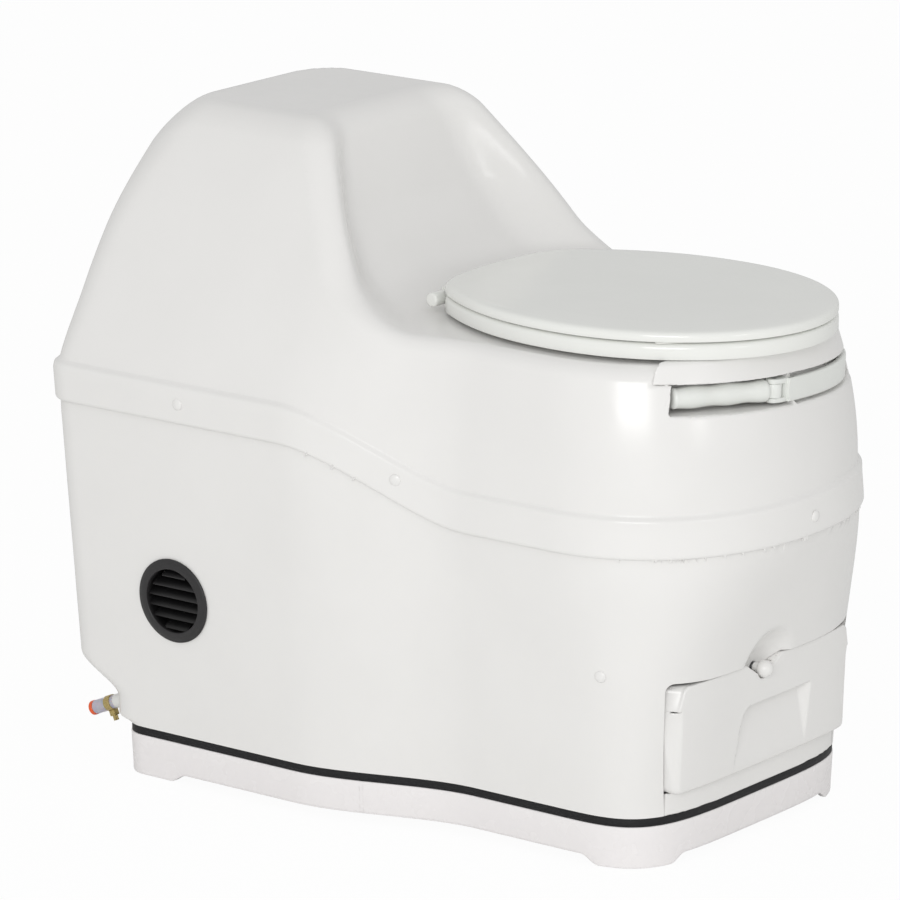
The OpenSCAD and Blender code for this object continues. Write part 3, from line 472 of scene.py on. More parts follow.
upperShell = shellOf("upperShell", upperField, upperSet, upperLift, pinned=(0,))
finish(upperShell, shellPlastic, "casing", "shell_plastic", "upper_shell")


# lower shell, with the dish of the drum lock, which is part of a ball
lockX, lockZ = -14, 195
dishSet = {"y": -432, "z": 190, "radius": 62}


def lowerField(x, y, z):
    away = np.sqrt((x - lockX) ** 2 + (y - dishSet["y"]) ** 2 + (z - dishSet["z"]) ** 2)
    return bothIn(bodyField(x, y, z), dishSet["radius"] - away, 2.5)


def lowerLift(y, t):
    high = seam(y) - 0.3
    return np.where(t < 215, t, 215 + (t - 215) * (high - 215) / (form["seamFront"] - 215))


lowerSet = {"x": [(-292, -260, 8), (-260, -56, 7.6), (-56, 28, 3), (28, 260, 7.6), (260, 292, 8)],
            "y": [(-456, -380, 3), (-380, 340, 7.6), (340, 420, 5), (420, 432, 6)],
            "t": [(58, 68, 1.66), (68, 84, 4), (84, 134, 4), (134, 216, 4), (216, 354, 7.7)]}
lowerShell = shellOf("lowerShell", lowerField, lowerSet, lowerLift, pinned=(0, -1))
finish(lowerShell, shellPlastic, "casing", "shell_plastic", "lower_shell")


# small helpers for modelling
def enter():
    bpy.ops.object.mode_set(mode="EDIT")


def leave():
    bpy.ops.object.mode_set(mode="OBJECT")


def choose(piece, kind, test):  # edit mode with only the wanted corners, edges or faces selected
    pick(piece)
    enter()
    bpy.ops.mesh.select_mode(type=kind)
    bpy.ops.mesh.select_all(action="DESELECT")
    leave()
    mesh = piece.data
    if kind == "FACE":
        for face in mesh.polygons:
            face.select = bool(test(face.center / mm, face.normal))
    elif kind == "EDGE":
        for edge in mesh.edges:
            edge.select = bool(test(*[mesh.vertices[i].co / mm for i in edge.vertices]))
    else:
        for corner in mesh.vertices:
            corner.select = bool(test(corner.co / mm))
    enter()


def anyOf(*spots):  # a test that takes everything
    return True


def squareTo(axis):  # a test for edges that lie square to an axis
    return lambda a, b: abs(getattr(a, axis) - getattr(b, axis)) < 0.01


def bevelWhere(piece, test, size, segments=3):
    choose(piece, "EDGE", test)
    bpy.ops.mesh.bevel(offset=size * mm, segments=segments, affect="EDGES", clamp_overlap=True)
    leave()


def closeUp(piece):  # every face turned outwards, back in object mode
    bpy.ops.mesh.select_all(action="SELECT")
    bpy.ops.mesh.normals_make_consistent(inside=False)
    leave()
    return piece


def box(name, low, high):  # a cube between two corners
    low, high = Vector(low) * mm, Vector(high) * mm
    bpy.ops.mesh.primitive_cube_add(size=1, location=(low + high) / 2)
    piece = bpy.context.object
    piece.name = name
    piece.scale = high - low
    return settle(piece)


def rod(name, radius, start, end, sides=48):  # a cylinder between two places
    start, end = Vector(start) * mm, Vector(end) * mm
    bpy.ops.mesh.primitive_cylinder_add(vertices=sides, radius=radius * mm, depth=(end - start).length)
    piece = bpy.context.object
    piece.name = name
    piece.rotation_euler = (end - start).to_track_quat("Z", "Y").to_euler()
    piece.location = (start + end) / 2
    return settle(piece)


def turned(name, profile, sides=48):  # a profile of (radius, height) spun about Z
    mesh = bpy.data.meshes.new(name)
    edges = [(i, i + 1) for i in range(len(profile) - 1)]
    mesh.from_pydata([(r * mm, 0, h * mm) for r, h in profile], edges, [])
    piece = bpy.data.objects.new(name, mesh)
    bpy.context.collection.objects.link(piece)
    pick(piece)
    enter()
    bpy.ops.mesh.select_all(action="SELECT")
    bpy.ops.mesh.spin(steps=sides, angle=2 * math.pi, center=(0, 0, 0), axis=(0, 0, 1))
    bpy.ops.mesh.select_all(action="SELECT")
    bpy.ops.mesh.remove_doubles(threshold=0.00002)
    return closeUp(piece)


def arc(cx, cz, radius, start, end, count=6):  # part of a profile: a rounded corner
    angles = [math.radians(start + (end - start) * i / count) for i in range(count + 1)]
    return [(cx + radius * math.cos(a), cz + radius * math.sin(a)) for a in angles]


def stand(piece, at, turn=(0, 0, 0)):
    piece.location = Vector(at) * mm
    piece.rotation_euler = [math.radians(a) for a in turn]
    return settle(piece)


def copyOf(piece, name):
    twin = piece.copy()
    twin.data = piece.data.copy()
    twin.name = name
    bpy.context.collection.objects.link(twin)
    return twin


def mirrorOf(piece):  # the same piece on the other side
    twin = copyOf(piece, piece.name + "Twin")
    twin.scale = (-1, 1, 1)
    settle(twin)
    choose(twin, "FACE", anyOf)
    bpy.ops.mesh.flip_normals()
    leave()
    return twin


def together(name, *pieces):
    pick(pieces[0])
    for piece in pieces[1:]:
        piece.select_set(True)
    if len(pieces) > 1:
        bpy.ops.object.join()
    pieces[0].name = name
    return pieces[0]


def bothSides(name, *pieces):
    return together(name, *pieces, *[mirrorOf(piece) for piece in pieces])


def cutBy(piece, *cutters):
    for cutter in cutters:
        applyModifier(piece, "BOOLEAN", operation="DIFFERENCE", object=cutter, solver="EXACT")
        bpy.data.objects.remove(cutter, do_unlink=True)


def loopOf(name, corners, fill):  # one loop through corners in millimetres
    bpy.ops.mesh.primitive_circle_add(vertices=len(corners), radius=1, fill_type=fill)
    piece = bpy.context.object
    piece.name = name
    for corner, place in zip(piece.data.vertices, corners):
        corner.co = [c * mm for c in place]
    return piece


def extrudeTo(piece, loop, below=None):  # the selection extruded to a loop; below matches corners by place
    bpy.ops.mesh.extrude_region_move()
    leave()
    for number, corner in enumerate([v for v in piece.data.vertices if v.select]):
        if below:
            number = int(np.hypot(*(np.array(below)[:, :2] - np.array(corner.co[:2]) / mm).T).argmin())
        corner.co = [c * mm for c in loop[number]]
    enter()


def through(name, loops, closed=False, byPlace=False):  # a solid through loops, or a closed ring through them
    piece = loopOf(name, loops[0], "NOTHING" if closed else "NGON")
    choose(piece, "EDGE" if closed else "FACE", anyOf)
    for below, loop in zip(loops, loops[1:]):
        extrudeTo(piece, loop, below if byPlace else None)
    if closed:
        bpy.ops.mesh.select_all(action="DESELECT")
        bpy.ops.mesh.select_non_manifold()
        bpy.ops.mesh.bridge_edge_loops()
    return closeUp(piece)


def atLevel(outline, level):
    return [(u, v, level) for u, v in outline]


def prism(name, outline, low, high, axis="z"):  # an outline extruded along Z or Y
    piece = loopOf(name, [(u, v, low) if axis == "z" else (u, low, v) for u, v in outline], "NGON")
    choose(piece, "FACE", anyOf)
    far = (high - low) * mm
    move = (0, 0, far) if axis == "z" else (0, far, 0)
    bpy.ops.mesh.extrude_region_move(TRANSFORM_OT_translate={"value": move})
    return closeUp(piece)


def pill(name, start, end, radius, low, high):  # a flat pad with round ends
    way = math.degrees(math.atan2(end[1] - start[1], end[0] - start[0]))
    outline = arc(*end, radius, way - 90, way + 90, 12) + arc(*start, radius, way + 90, way + 270, 12)
    piece = prism(name, outline, low, high)
    bevelWhere(piece, squareTo("z"), 0.5, 2)
    return piece


# openings in the two shells
def bowlOutline(a, b, y0, count=80):  # a superellipse
    def bend(v):
        return math.copysign(abs(v) ** 0.86, v)

    angles = [2 * math.pi * i / count for i in range(count)]
    return [(a * bend(math.cos(t)), y0 + b * bend(math.sin(t))) for t in angles]


bowlSet = {"y": -232, "hole": (112, 137), "rim": (136, 161), "chute": (110, 135), "bore": (107, 132)}
collarAt, glandAt, drainAt, drainTurn = (0, 386, 590), (205, 354, 78), (-235, 354, 74), (-113, 0, 0)
cutBy(upperShell, prism("bowlHole", bowlOutline(*bowlSet["hole"], bowlSet["y"]), 545, 565),
      rod("collarHole", 42.1, (0, 380, collarAt[2]), (0, 430, collarAt[2]), 64),
      rod("hubHole", 12, (hubX, -395, crankZ), (hubX, -300, crankZ)))
louvreSet = {"y": 244, "z": 219, "inner": 37.0, "barrel": 43, "slats": 6,
             "turn": -90 - math.degrees(math.atan(form["draft"]))}
louvreAt = (-float(sideW(louvreSet["z"])), louvreSet["y"], louvreSet["z"])
louvreHole = stand(rod("louvreHole", louvreSet["barrel"] + 0.5, (0, 0, -12), (0, 0, 12)), louvreAt,
                   (0, louvreSet["turn"], 0))
drainHole = stand(rod("drainHole", 8.05, (0, 0, -16), (0, 0, 12)), drainAt, drainTurn)
glandHole = rod("glandHole", 7.9, (glandAt[0], 330, glandAt[2]), (glandAt[0], 370, glandAt[2]))
lockHole = rod("lockHole", 5.9, (lockX, -420, lockZ), (lockX, -340, lockZ))
slotSet = {"half": 163.4, "low": 40, "from": 84, "top": 207.6, "flare": 10 / 122, "corner": 8}


def slotHalf(z):  # the drawer's opening widens a little towards its top
    return slotSet["half"] + slotSet["flare"] * (z - slotSet["from"])


slotLow, slotTop, cornerR = slotSet["low"], slotSet["top"], slotSet["corner"]
slotSide = arc(slotHalf(slotTop) - cornerR, slotTop + 3.5 - cornerR, cornerR, 0, 90)
slotSide += [(142, slotTop + 1.6), (118, slotTop)]
slotOutline = [(-slotHalf(slotLow), slotLow), (slotHalf(slotLow), slotLow)] + slotSide
slotOutline += [(-u, v) for u, v in reversed(slotSide)]
lugSide = [(4, 185.5), (9, 188), (12, 193), (37, 209), (46, 252)]
lugOutline = [(lockX - u, v) for u, v in reversed(lugSide)] + [(lockX + u, v) for u, v in lugSide]
opening = prism("drawerOpening", slotOutline, -460, -320, axis="y")
cutBy(opening, prism("lugWedge", lugOutline, -470, -300, axis="y"))
cutBy(lowerShell, louvreHole, drainHole, glandHole, opening, lockHole,
      box("footTrim", (-310, -470, 20), (310, 470, form["footZ"] + 0.05)))
for shell in (upperShell, lowerShell):
    smoothed(shell)
print("openings cut")


# sill under the drawer, drawer front, hood, base tray and seal follow the same body
def closedNet(name, field, xs, ys, zs):
    points, quads = netOver(field, steps(*xs), steps(*ys), steps(*zs), lambda y, t: t)
    return meshOf(name, points, quads)


def sillField(x, y, z):
    body = bodyField(x, y, z)
    slab = bothIn(bothIn(body, np.abs(x) - 160.8, 1.2), z - 83, 1.2)
    return within(slab, form["footZ"] - z, -form["wall"] - body)


frontSill = closedNet("frontSill", sillField, [(-163.5, -156, 1.2), (-156, 156, 6), (156, 163.5, 1.2)],
                      [(-400, -320, 2.4)], [(56, 61, 1.2), (61, 79, 3.6), (79, 85, 1)])
finish(frontSill, shellPlastic, "casing", "shell_plastic", "front_sill")

panelSet = {"half": 225.0, "low": 84, "top": 206, "skin": 5, "rearY": -364, "edge": 3}
pocketSet = {"left": -65, "right": 72.5, "foot": 83, "top": 158, "deep": 11.5, "backing": 3.5}


def panelPlan(x, y, z):
    half, d, f = panelSet["half"], 120 + 50 * rise(z), 380 + 14 * rise(z)
    return np.where(y < d - f, roundFront(x, y, half, d, f, 4.6), np.abs(x) - half)


def panelField(x, y, z):
    plan = panelPlan(x, y, z)
    px, pz = x - lockX, z - lockZ
    front = np.where(z > 179, 162.5 - 9 * (z - 179) / 27, 159.5)
    across = np.abs(x) - np.minimum(slotHalf(z) - 1.4, front + (172 - front) * np.clip((y + 376) / 24, 0, 1))
    side = bothIn(across, np.maximum(panelSet["low"] - z, z - panelSet["top"]), 7)
    body = bothIn(plan, side, mixIn(4.0, 1.5, smooth((z - 166) / 14)))
    rear = y - mixIn(panelSet["rearY"], panelSet["rearY"] + 14, np.abs(x) > 150)
    # notch round the lug: a V with a round foot
    notch = np.minimum(np.maximum(np.abs(px) - 13.4 - 1.5625 * (pz + 2), -pz - 3), np.hypot(px, pz) - 11.2)
    body = bothIn(np.maximum(body, rear), -notch, 1.2)
    edge = panelSet["edge"]
    inner = within(plan + panelSet["skin"], across + 4, panelSet["low"] + edge - z, z - panelSet["top"] + edge)
    # finger pocket: walls lean, the floor slopes from its deep top down to nothing
    up = z - pocketSet["foot"]
    left = (pocketSet["left"] + up * 0.21) - x
    right = (x - pocketSet["right"] - up * 0.107 + 0.9 * np.clip(-plan, 0, 12)) * 0.75
    pocket = bothIn(bothIn(left, z - pocketSet["top"], 16), right, 3)
    deep = pocketSet["deep"] * np.clip((z - 92) / 60, 0, 1)
    cup = bothIn(pocket, -deep - plan, 1.5)
    backing = bothIn(bothIn(left - 4, z - pocketSet["top"] - 4, 18), right - 4, 3)
    shelf = within(backing, plan, -deep - pocketSet["backing"] - plan, y - panelSet["rearY"])
    body = np.maximum(body, -within(inner, -shelf, edge - notch))
    nick = within(x + 158, np.abs(z - 178) - 1.1, y + 366)  # a seam near the panel's upper left corner
    return np.maximum(bothIn(body, -cup, 0.9), -nick)


drawerFront = closedNet("drawerFront", panelField,
                        [(-174, -146, 1.3), (-146, -74, 4.5), (-74, -40, 1.7), (-40, 14, 1.7), (14, 64, 4.5),
                         (64, 82, 1.5), (82, 146, 5), (146, 174, 1.5)],
                        [(-398, -348, 1.6)], [(82, 90, 1.2), (90, 138, 3), (138, 164, 1.5), (164, 208, 1.4)])
finish(drawerFront, shellPlastic, "drawer", "shell_plastic", "drawer_front", angle=40)


def hoodField(x, y, z):
    body = bodyField(x, y, z)
    face = bothIn(body, z - hoodSet["top"], 4)
    face = bothIn(face, hoodSet["z"] + 0.2 - levelAt(x, z), 1.5)
    face = bothIn(face, np.abs(x) - hoodSet["half"], 2.5)
    return within(face, y - hoodSet["rearY"], np.minimum(-hoodSet["thick"] - body, form["deckZ"] - z))


def funnel(name, size, low, high, rings):  # a bowl outline drawn down through narrower ones
    piece = prism(name, bowlOutline(*size, bowlSet["y"]), low, high)
    choose(piece, "FACE", lambda c, n: n.z < -0.9)
    for ring, level in rings:
        extrudeTo(piece, atLevel(bowlOutline(*ring), level))
    leave()
    return piece


hood = closedNet("bowlHood", hoodField, [(-189, -164, 1.25), (-164, 164, 5), (164, 189, 1.25)],
                 [(-424, -342, 2)], [(520, 545, 1.5), (545, 552, 2), (552, 564, 1.2)])
rim = prism("bowlRim", bowlOutline(*bowlSet["rim"], bowlSet["y"]), 558, 561.6)
bevelWhere(rim, lambda a, b: a.z > 561 and b.z > 561, 1.5)
chute = funnel("chute", bowlSet["chute"], 558.5, 561,
               [((109, 133, -231), 550), ((98, 112, -214), 524), ((76, 71, -190), 501)])
bore = funnel("bore", bowlSet["bore"], 557, 570,
              [((105.5, 129.5, -231), 549), ((94.5, 108.5, -214), 523), ((72, 67, -190), 490)])
for part, cutter in ((hood, copyOf(bore, "hoodBore")), (rim, copyOf(bore, "rimBore")), (chute, bore)):
    cutBy(part, cutter)
bowlLiner = together("bowlLiner", hood, rim, chute)
finish(bowlLiner, shellPlastic, "casing", "shell_plastic", "bowl_liner", angle=30)


def planAt(grow, count=520):  # the foot's outline, moved out by grow, in even steps along its length
    angles = np.linspace(-math.pi, math.pi, 2400, endpoint=False)
    near, far = np.zeros(len(angles)), np.full(len(angles), 620.0)
    foot = np.full(len(angles), form["footZ"] + 0.2)
    for step in range(32):
        middle = (near + far) / 2
        inside = bodyField(middle * np.cos(angles), middle * np.sin(angles), foot) < grow
        near, far = np.where(inside, middle, near), np.where(inside, far, middle)
    u, v = near * np.cos(angles), near * np.sin(angles)
    u, v = np.append(u, u[0]), np.append(v, v[0])
    along = np.append(0, np.cumsum(np.hypot(np.diff(u), np.diff(v))))
    wanted = np.linspace(0, along[-1], count, endpoint=False)
    return np.interp(wanted, along, u), np.interp(wanted, along, v)


def skirtAt(u, v):  # the skirt stands on four feet and lifts between them
    alongSide = smooth((v + 300) / 22) * smooth((262 - v) / 22)
    acrossEnds = smooth((150 - np.abs(u)) / 20) * (np.abs(v) > 300)
    return 0.15 + 9.8 * np.maximum(alongSide, acrossEnds)


def skirtLoop(grow, up):  # one outline of the tray; up is counted from its lower edge, or is a level above 12
    u, v = planAt(grow)
    level = np.full(len(u), float(up)) if up > 12 else skirtAt(u, v) + up
    return list(zip(u.tolist(), v.tolist(), level.tolist()))


trayLoops = [(-10, 13), (-10, 1.2), (-9.4, 0.3), (-8.4, 0), (-4, 0), (-2.9, 0.4), (-2.3, 1.4), (-2, 3.4),
             (-1.8, 13), (-0.9, 30), (-0.15, 46.6), (-0.3, 47.5), (-1, 48), (-10, 48)]
baseTray = through("baseTray", [skirtLoop(grow, up) for grow, up in trayLoops])
for side in (-1, 1):
    for u, v in ((226, 290), (172, -318)):
        cutBy(baseTray, rod("padSeat", 12.2, (side * u, v, -5), (side * u, v, 4)))
basePlastic = glossPlastic("gloss white moulded tray ABS", "#f1eeee", "#f0eded", 0.27)
finish(baseTray, basePlastic, "casing", "base_plastic", "base_tray", angle=30)

stripLoops = [(-11, 48.2), (-1.7, 48.2), (-1.1, 48.4), (-0.9, 49), (-0.9, 57.2), (-1.1, 57.8), (-1.7, 58),
              (-11, 58)]
baseSeal = through("baseSeal", [skirtLoop(grow, up) for grow, up in stripLoops], closed=True)
# dull, with a soft grey sheen and a little pale dust
sealRubber = speckled("black extruded EPDM rubber", {"IOR": 1.5, "Specular IOR Level": 0.35},
                      {"Scale": 420.0, "Detail": 4.0, "Roughness": 0.7},
                      [(0.55, "#161618"), (0.68, "#1d1d1f"), (0.80, "#4a4948")],
                      (0.3, 0.8, 0.48, 0.7), grain=(0.4, 0.05))
finish(baseSeal, sealRubber, "casing", "seal_rubber", "base_seal")

# seat, lid and hinge: compression-moulded seat plastic, glossier than the shells
seatPlastic = glossPlastic("gloss white moulded seat polypropylene", "#edeeea", "#ebece8", 0.15, 0.004, 0.03)
seatSet = {"half": 183, "frontLen": 215, "wideY": -220, "ringZ": 565, "lidZ": 582, "cut": -14.5}
hingeY, hingeZ, midY = -5, 573, -236


def seatOutline(g):
    right = [((seatSet["half"] - g) * math.sin(a), seatSet["wideY"] - (seatSet["frontLen"] - g) * math.cos(a))
             for a in [math.radians(90 * i / 26) for i in range(26)]]
    for i in range(14):
        s = i / 14 * 0.985
        right.append((seatSet["half"] - g - 63 * s ** 2.2, mixIn(seatSet["wideY"], -30 - 0.4 * g, s)))
    for i in range(12):
        a = math.radians(mixIn(23.5, 90, i / 11))
        right.append((38.4 + (89 - g) * math.cos(a), -51.2 + (53.2 - g) * math.sin(a)))
    return right + [(-u, v) for u, v in reversed(right[1:])]


def radial(outline, count=144):  # an outline resampled at even angles about the middle of the bowl
    spots = np.array(outline) - (0, midY)
    angles = np.arctan2(spots[:, 1], spots[:, 0])
    order = np.argsort(angles)
    wanted = -math.pi + 2 * math.pi * (np.arange(count) + 0.5) / count
    reach = np.interp(wanted, angles[order], np.hypot(*spots.T)[order], period=2 * math.pi)
    return [(float(r * math.cos(a)), float(midY + r * math.sin(a))) for r, a in zip(reach, wanted)]


def ringOutline(g):  # the ring ends in a straight rear edge
    rear = seatSet["cut"] - g
    return [(u, v) if v < rear else (u * (rear - midY) / (v - midY), rear) for u, v in radial(seatOutline(g))]


lidSteps = [(1.2, 0), (0.3, 0.4), (0, 1.2), (0, 5.6), (0.35, 7.4), (1.3, 8.9), (2.8, 10), (4.8, 10.7),
            (9, 11.2), (18, 11.55), (32, 11.8), (44, 12)]
lidLoops = [atLevel(radial(seatOutline(g)), seatSet["lidZ"] + h) for g, h in lidSteps]
lidLoops += [[(u * share, midY + (v - midY) * share, z) for u, v, z in lidLoops[-1]]
             for share in (0.98, 0.5, 0.03)]
lid = through("seatLid", lidLoops, byPlace=True)
ringSteps = [(4.5, 0), (3.6, -0.6), (3.2, -2.1), (1.0, -2.4), (0.3, -2.2), (0, -1.6), (0, 9.5), (0.5, 11.6),
             (1.6, 13.4), (3.4, 14.5), (6.5, 15)]
bowlEdge = [(7, 15), (4.2, 14.2), (1.8, 11.6), (0.4, 8), (0, 5), (0.6, 1), (1.6, 0)]
ringLoops = [atLevel(ringOutline(g), seatSet["ringZ"] + h) for g, h in ringSteps]
bowlLoops = [(radial(bowlOutline(104 + g, 132 + g, midY, 160)), seatSet["ringZ"] + h) for g, h in bowlEdge]
ringLoops += [atLevel(*loop) for loop in bowlLoops]
ring = through("seatRing", ringLoops, closed=True)


def knuckle(name, x1, x2, low, high):  # a hinge barrel with the web that ties it to its slab
    barrel = rod(name, 8.3, (x1, hingeY, hingeZ), (x2, hingeY, hingeZ))
    bevelWhere(barrel, squareTo("x"), 0.8, 2)
    web = box(name + "Web", (x1 + 0.5, low, hingeZ), (x2 - 0.5, hingeY + 5, high))
    return together(name, barrel, web)


lidBarrel = knuckle("lidBarrel", 61, 90, hingeY - 5, seatSet["lidZ"] + 1)
ringBarrel = knuckle("ringBarrel", 21, 37, -19, 579)
seatLid = together("seatLid", lid, lidBarrel, mirrorOf(lidBarrel))
finish(seatLid, seatPlastic, "lid", "seat_plastic", "seat_lid", angle=32)
seatRing = together("seatRing", ring, ringBarrel, mirrorOf(ringBarrel))
finish(seatRing, seatPlastic, "seat", "seat_plastic", "seat_ring", angle=32)

padPlastic = glossPlastic("soft white bumper polyethylene", "#e4e4df", "#dededa", 0.38, 0.01, 0.02)
lidPads = [pill("lidPad", (123, -359), (148, -337), 5, 580.2, 582),
           pill("lidPadRear", (150, -262), (150, -238), 5, 580.2, 582)]
seatPads = [pill("seatPad", (118, -170), (118, -150), 7.5, 562.3, 565.2),
            pill("seatPadFront", (52, -374), (68, -370), 7.5, 562.3, 565.2)]
finish(bothSides("lidBumpers", *lidPads), padPlastic, "lid", "seat_plastic", "lid_bumpers")
finish(bothSides("seatBumpers", *seatPads), padPlastic, "seat", "seat_plastic", "seat_bumpers")

post = rod("hingePost", 8.5, (41, hingeY, hingeZ), (57, hingeY, hingeZ), 64)
postFoot = box("postFoot", (41, -13.5, 559), (57, 1, hingeZ))
postBase = box("postBase", (37, -23.5, form["deckZ"]), (61, 1, 562))
for part, test, size in ((post, squareTo("x"), 1), (postFoot, anyOf, 0.8), (postBase, anyOf, 1.2)):
    bevelWhere(part, test, size, 2)
post = together("hingePost", post, postFoot, postBase)
finish(bothSides("hingePosts", post), seatPlastic, "casing", "seat_plastic", "hinge_posts")
pinProfile = [(0, 19), (3.4, 19), (4, 19.6), (4, 91.2), (6.8, 91.2)] + arc(6.8, 92.4, 1.2, -90, 0, 3) + \
    arc(5.2, 113.2, 2.8, 0, 90, 6) + [(0, 116)]
pin = stand(turned("hingePin", pinProfile), (0, hingeY, hingeZ), (0, 90, 0))
finish(bothSides("hingePins", pin), seatPlastic, "casing", "seat_plastic", "hinge_pins")
print("seat and lid done")


# domed covers over the shells' screws, one turned and copied
def frontX(y, z):  # X of the rounded front's side
    d, n = float(planDepth(z)), float(planPower(z))
    return float(frontW(z)) * (1 - ((d - float(frontY(z)) - y) / d) ** n) ** (1 / n)


capSet = {"radius": 6.5, "foot": 0.5, "dome": 2.4}
proud = form["lipOut"]
capDome = [(capSet["radius"] * u, capSet["foot"] + capSet["dome"] * v) for u, v in arc(0, 0, 1, 12, 77, 5)]
capProfile = [(0, 0.1), (capSet["radius"], 0.1), (capSet["radius"], capSet["foot"])] + capDome
capProfile.append((0, capSet["foot"] + capSet["dome"]))
cap = turned("screwCap", capProfile, 32)
capPlaces = [((float(sideAt(221, 453)) + proud, 221, 453), (0, 90, 0)),
             ((float(sideAt(-56, 404)) + proud, -56, 404), (0, 90, -20)),
             ((frontX(-311, 220), -311, 220), (0, 90, -14)),
             ((150, float(rearY(453)) + proud, 453), (-90, 0, 0))]
caps = []
for number, (at, turn) in enumerate(capPlaces):
    twin = stand(copyOf(cap, "screwCap" + str(number)), at, turn)
    caps += [twin, mirrorOf(twin)]
caps.append(stand(cap, (0, -float(frontY(374)) - proud, 374), (90, 0, 0)))
finish(together("screwCaps", *caps), shellPlastic, "casing", "shell_plastic", "screw_caps")

# crank: glass-filled nylon, satin rather than glossy, with a fine moulded grain
crankPlastic = glossPlastic("satin white glass-filled nylon", "#eceeea", "#e6e8e4", 0.34, 0.012, 0.02, 0.8)
crankSet = {"from": -22, "to": 158, "thick": 7, "inset": 2, "pivot": (-34, -407),
            "gripTurn": 156, "gripLen": 129, "gripR": 10.9, "wave": 0.6}


def frontAt(x, deeper):  # Y of the rounded front at the crank's height, some way inside
    w, d, n = float(frontW(crankZ)) - deeper, float(planDepth(crankZ)), float(planPower(crankZ))
    return d - float(frontY(crankZ)) + deeper - d * (1 - (abs(x) / w) ** n) ** (1 / n)


def tilt(piece):  # the stored crank rises to the left about its hub
    about = Matrix.Translation((hubX * mm, 0, crankZ * mm))
    piece.data.transform(about @ Matrix.Rotation(crankTilt, 4, "Y") @ about.inverted())
    return piece


across = [mixIn(crankSet["from"], crankSet["to"], i / 30) for i in range(31)]
armOutline = [(x, frontAt(x, crankSet["inset"])) for x in across]
armOutline += [(x, frontAt(x, crankSet["inset"] + crankSet["thick"])) for x in reversed(across)]
crankLow, crankHigh = crankZ - 13, crankZ + 13
arm = prism("crankArm", armOutline, crankLow, crankHigh)
bevelWhere(arm, squareTo("z"), 2, 3)
hub = rod("crankHub", 10, (hubX, -376, crankZ), (hubX, -352.4, crankZ))
stub = rod("crankStub", 7, (hubX, -356, crankZ), (hubX, -286, crankZ))
px, py = crankSet["pivot"]
fork = box("crankFork", (px + 11.8, py - 12.6, crankLow), (px + 25, py + 6, crankHigh))
choose(fork, "VERT", lambda c: c.x > px + 20 and c.y > py)
bpy.ops.transform.translate(value=(0, -6 * mm, 0))
leave()
bevelWhere(fork, anyOf, 1.2, 3)
ears = [box("forkLip", (px + 9.6, py - 9.2, 496), (px + 12.4, py + 5, 520))]
earOutline = arc(px, py, 9, 80, 224, 12) + [(px + 4, py - 9.2), (px + 12.4, py - 9.2), (px + 12.4, py + 5)]
for side in (-1, 1):
    middle = crankZ + 10.5 * side
    ear = prism("forkEar", earOutline, middle - 2.5, middle + 2.5)
    bevelWhere(ear, lambda a, b: abs(a.z - b.z) < 0.01 and abs(a.z - crankZ) > 12, 0.9, 3)
    cutBy(ear, rod("earHole", 3, (px, py, 490), (px, py, 526), 32))
    ears.append(ear)
arm = tilt(together("crankArm", arm, hub, stub, fork, *ears))
finish(arm, crankPlastic, "crank", "crank_plastic", "crank_arm")

gripLen = crankSet["gripLen"]
waves = [(crankSet["gripR"] + crankSet["wave"] * math.cos((d - 58) * 2 * math.pi / 44), d)
         for d in [12 + i * (gripLen - 18) / 44 for i in range(45)]]
gripProfile = [(0, 9.6), (9.4, 9.6), (10.4, 10.2)] + waves + arc(6.4, gripLen - 4.4, 4.4, 8, 90, 7)
gripProfile.append((0, gripLen))
grip = turned("gripBody", gripProfile, 64)
for corner in grip.data.vertices:
    corner.co.x *= 1.07  # a little taller than it is deep
stand(grip, (0, 0, 0), (0, 90, 0))
stand(grip, (px, py, crankZ), (0, 0, crankSet["gripTurn"]))
tang = rod("gripTang", 8.8, (px, py, 500.3), (px, py, 515.7), 64)
bevelWhere(tang, squareTo("z"), 0.4, 2)
cutBy(tang, rod("tangHole", 3.05, (px, py, crankLow), (px, py, crankHigh), 32))
neck = box("gripNeck", (4.5, -6.5, -7.4), (14, 6.5, 7.4))
bevelWhere(neck, anyOf, 0.8, 2)
stand(neck, (px, py, crankZ), (0, 0, crankSet["gripTurn"]))
finish(tilt(together("crankGrip", grip, tang, neck)), crankPlastic, "grip", "crank_plastic", "crank_grip")
print("crank done")

# knob of the drum lock: ball, turned, with a flat rear
ballR = 9.5
knobProfile = [(0, ballR)] + arc(0, 0, ballR, 84, -30, 19)
knobProfile += [(7.6, -5.5), (5.4, -5.7), (5.2, -6.2), (5.2, -13.2), (4.9, -13.5), (4, -13.5), (4, -4), (0, -4)]
knob = stand(turned("lockKnob", knobProfile, 64), (lockX, -387, lockZ), (90, 0, 0))
finish(knob, shellPlastic, "lock", "shell_plastic", "lock_knob")

# black louvre: semi-matt, and behind the flange painted shade darkens its colour to 0.22; the cable gland and
# fan impeller, which stand further in, get that painted shade all over
louvrePlastic, tree, shader, place = startMaterial("black talc-filled polypropylene", {"IOR": 1.49})
spot = (place, "Object")
speck = addNode(tree, "TexNoise", {"Scale": 900.0, "Detail": 3.0, "Roughness": 0.6}, {"Vector": spot})
tint = ramp(tree, (speck, "Fac"), [(0.3, "#222122"), (0.7, "#2b2a2b")])
parts = addNode(tree, "SeparateXYZ", None, {"Vector": spot})
# painted shade: the colour falls from full to 0.22 of the tint going inwards along X from the flange's face
paintedShadeByDepth = addNode(tree, "MapRange", {"From Min": -0.2665, "From Max": -0.2625, "To Min": 1.0, "To Max": 0.22},
                 {"Value": (parts, "X")})
shade = addNode(tree, "VectorMath", {"operation": "SCALE"}, {0: (tint, "Color"), "Scale": (paintedShadeByDepth, "Result")})
sheen = addNode(tree, "MapRange", {"To Min": 0.34, "To Max": 0.52}, {"Value": (speck, "Fac")})
grain = addNode(tree, "Bump", {"Strength": 0.5, "Distance": 0.02 * mm}, {"Height": (speck, "Fac")})
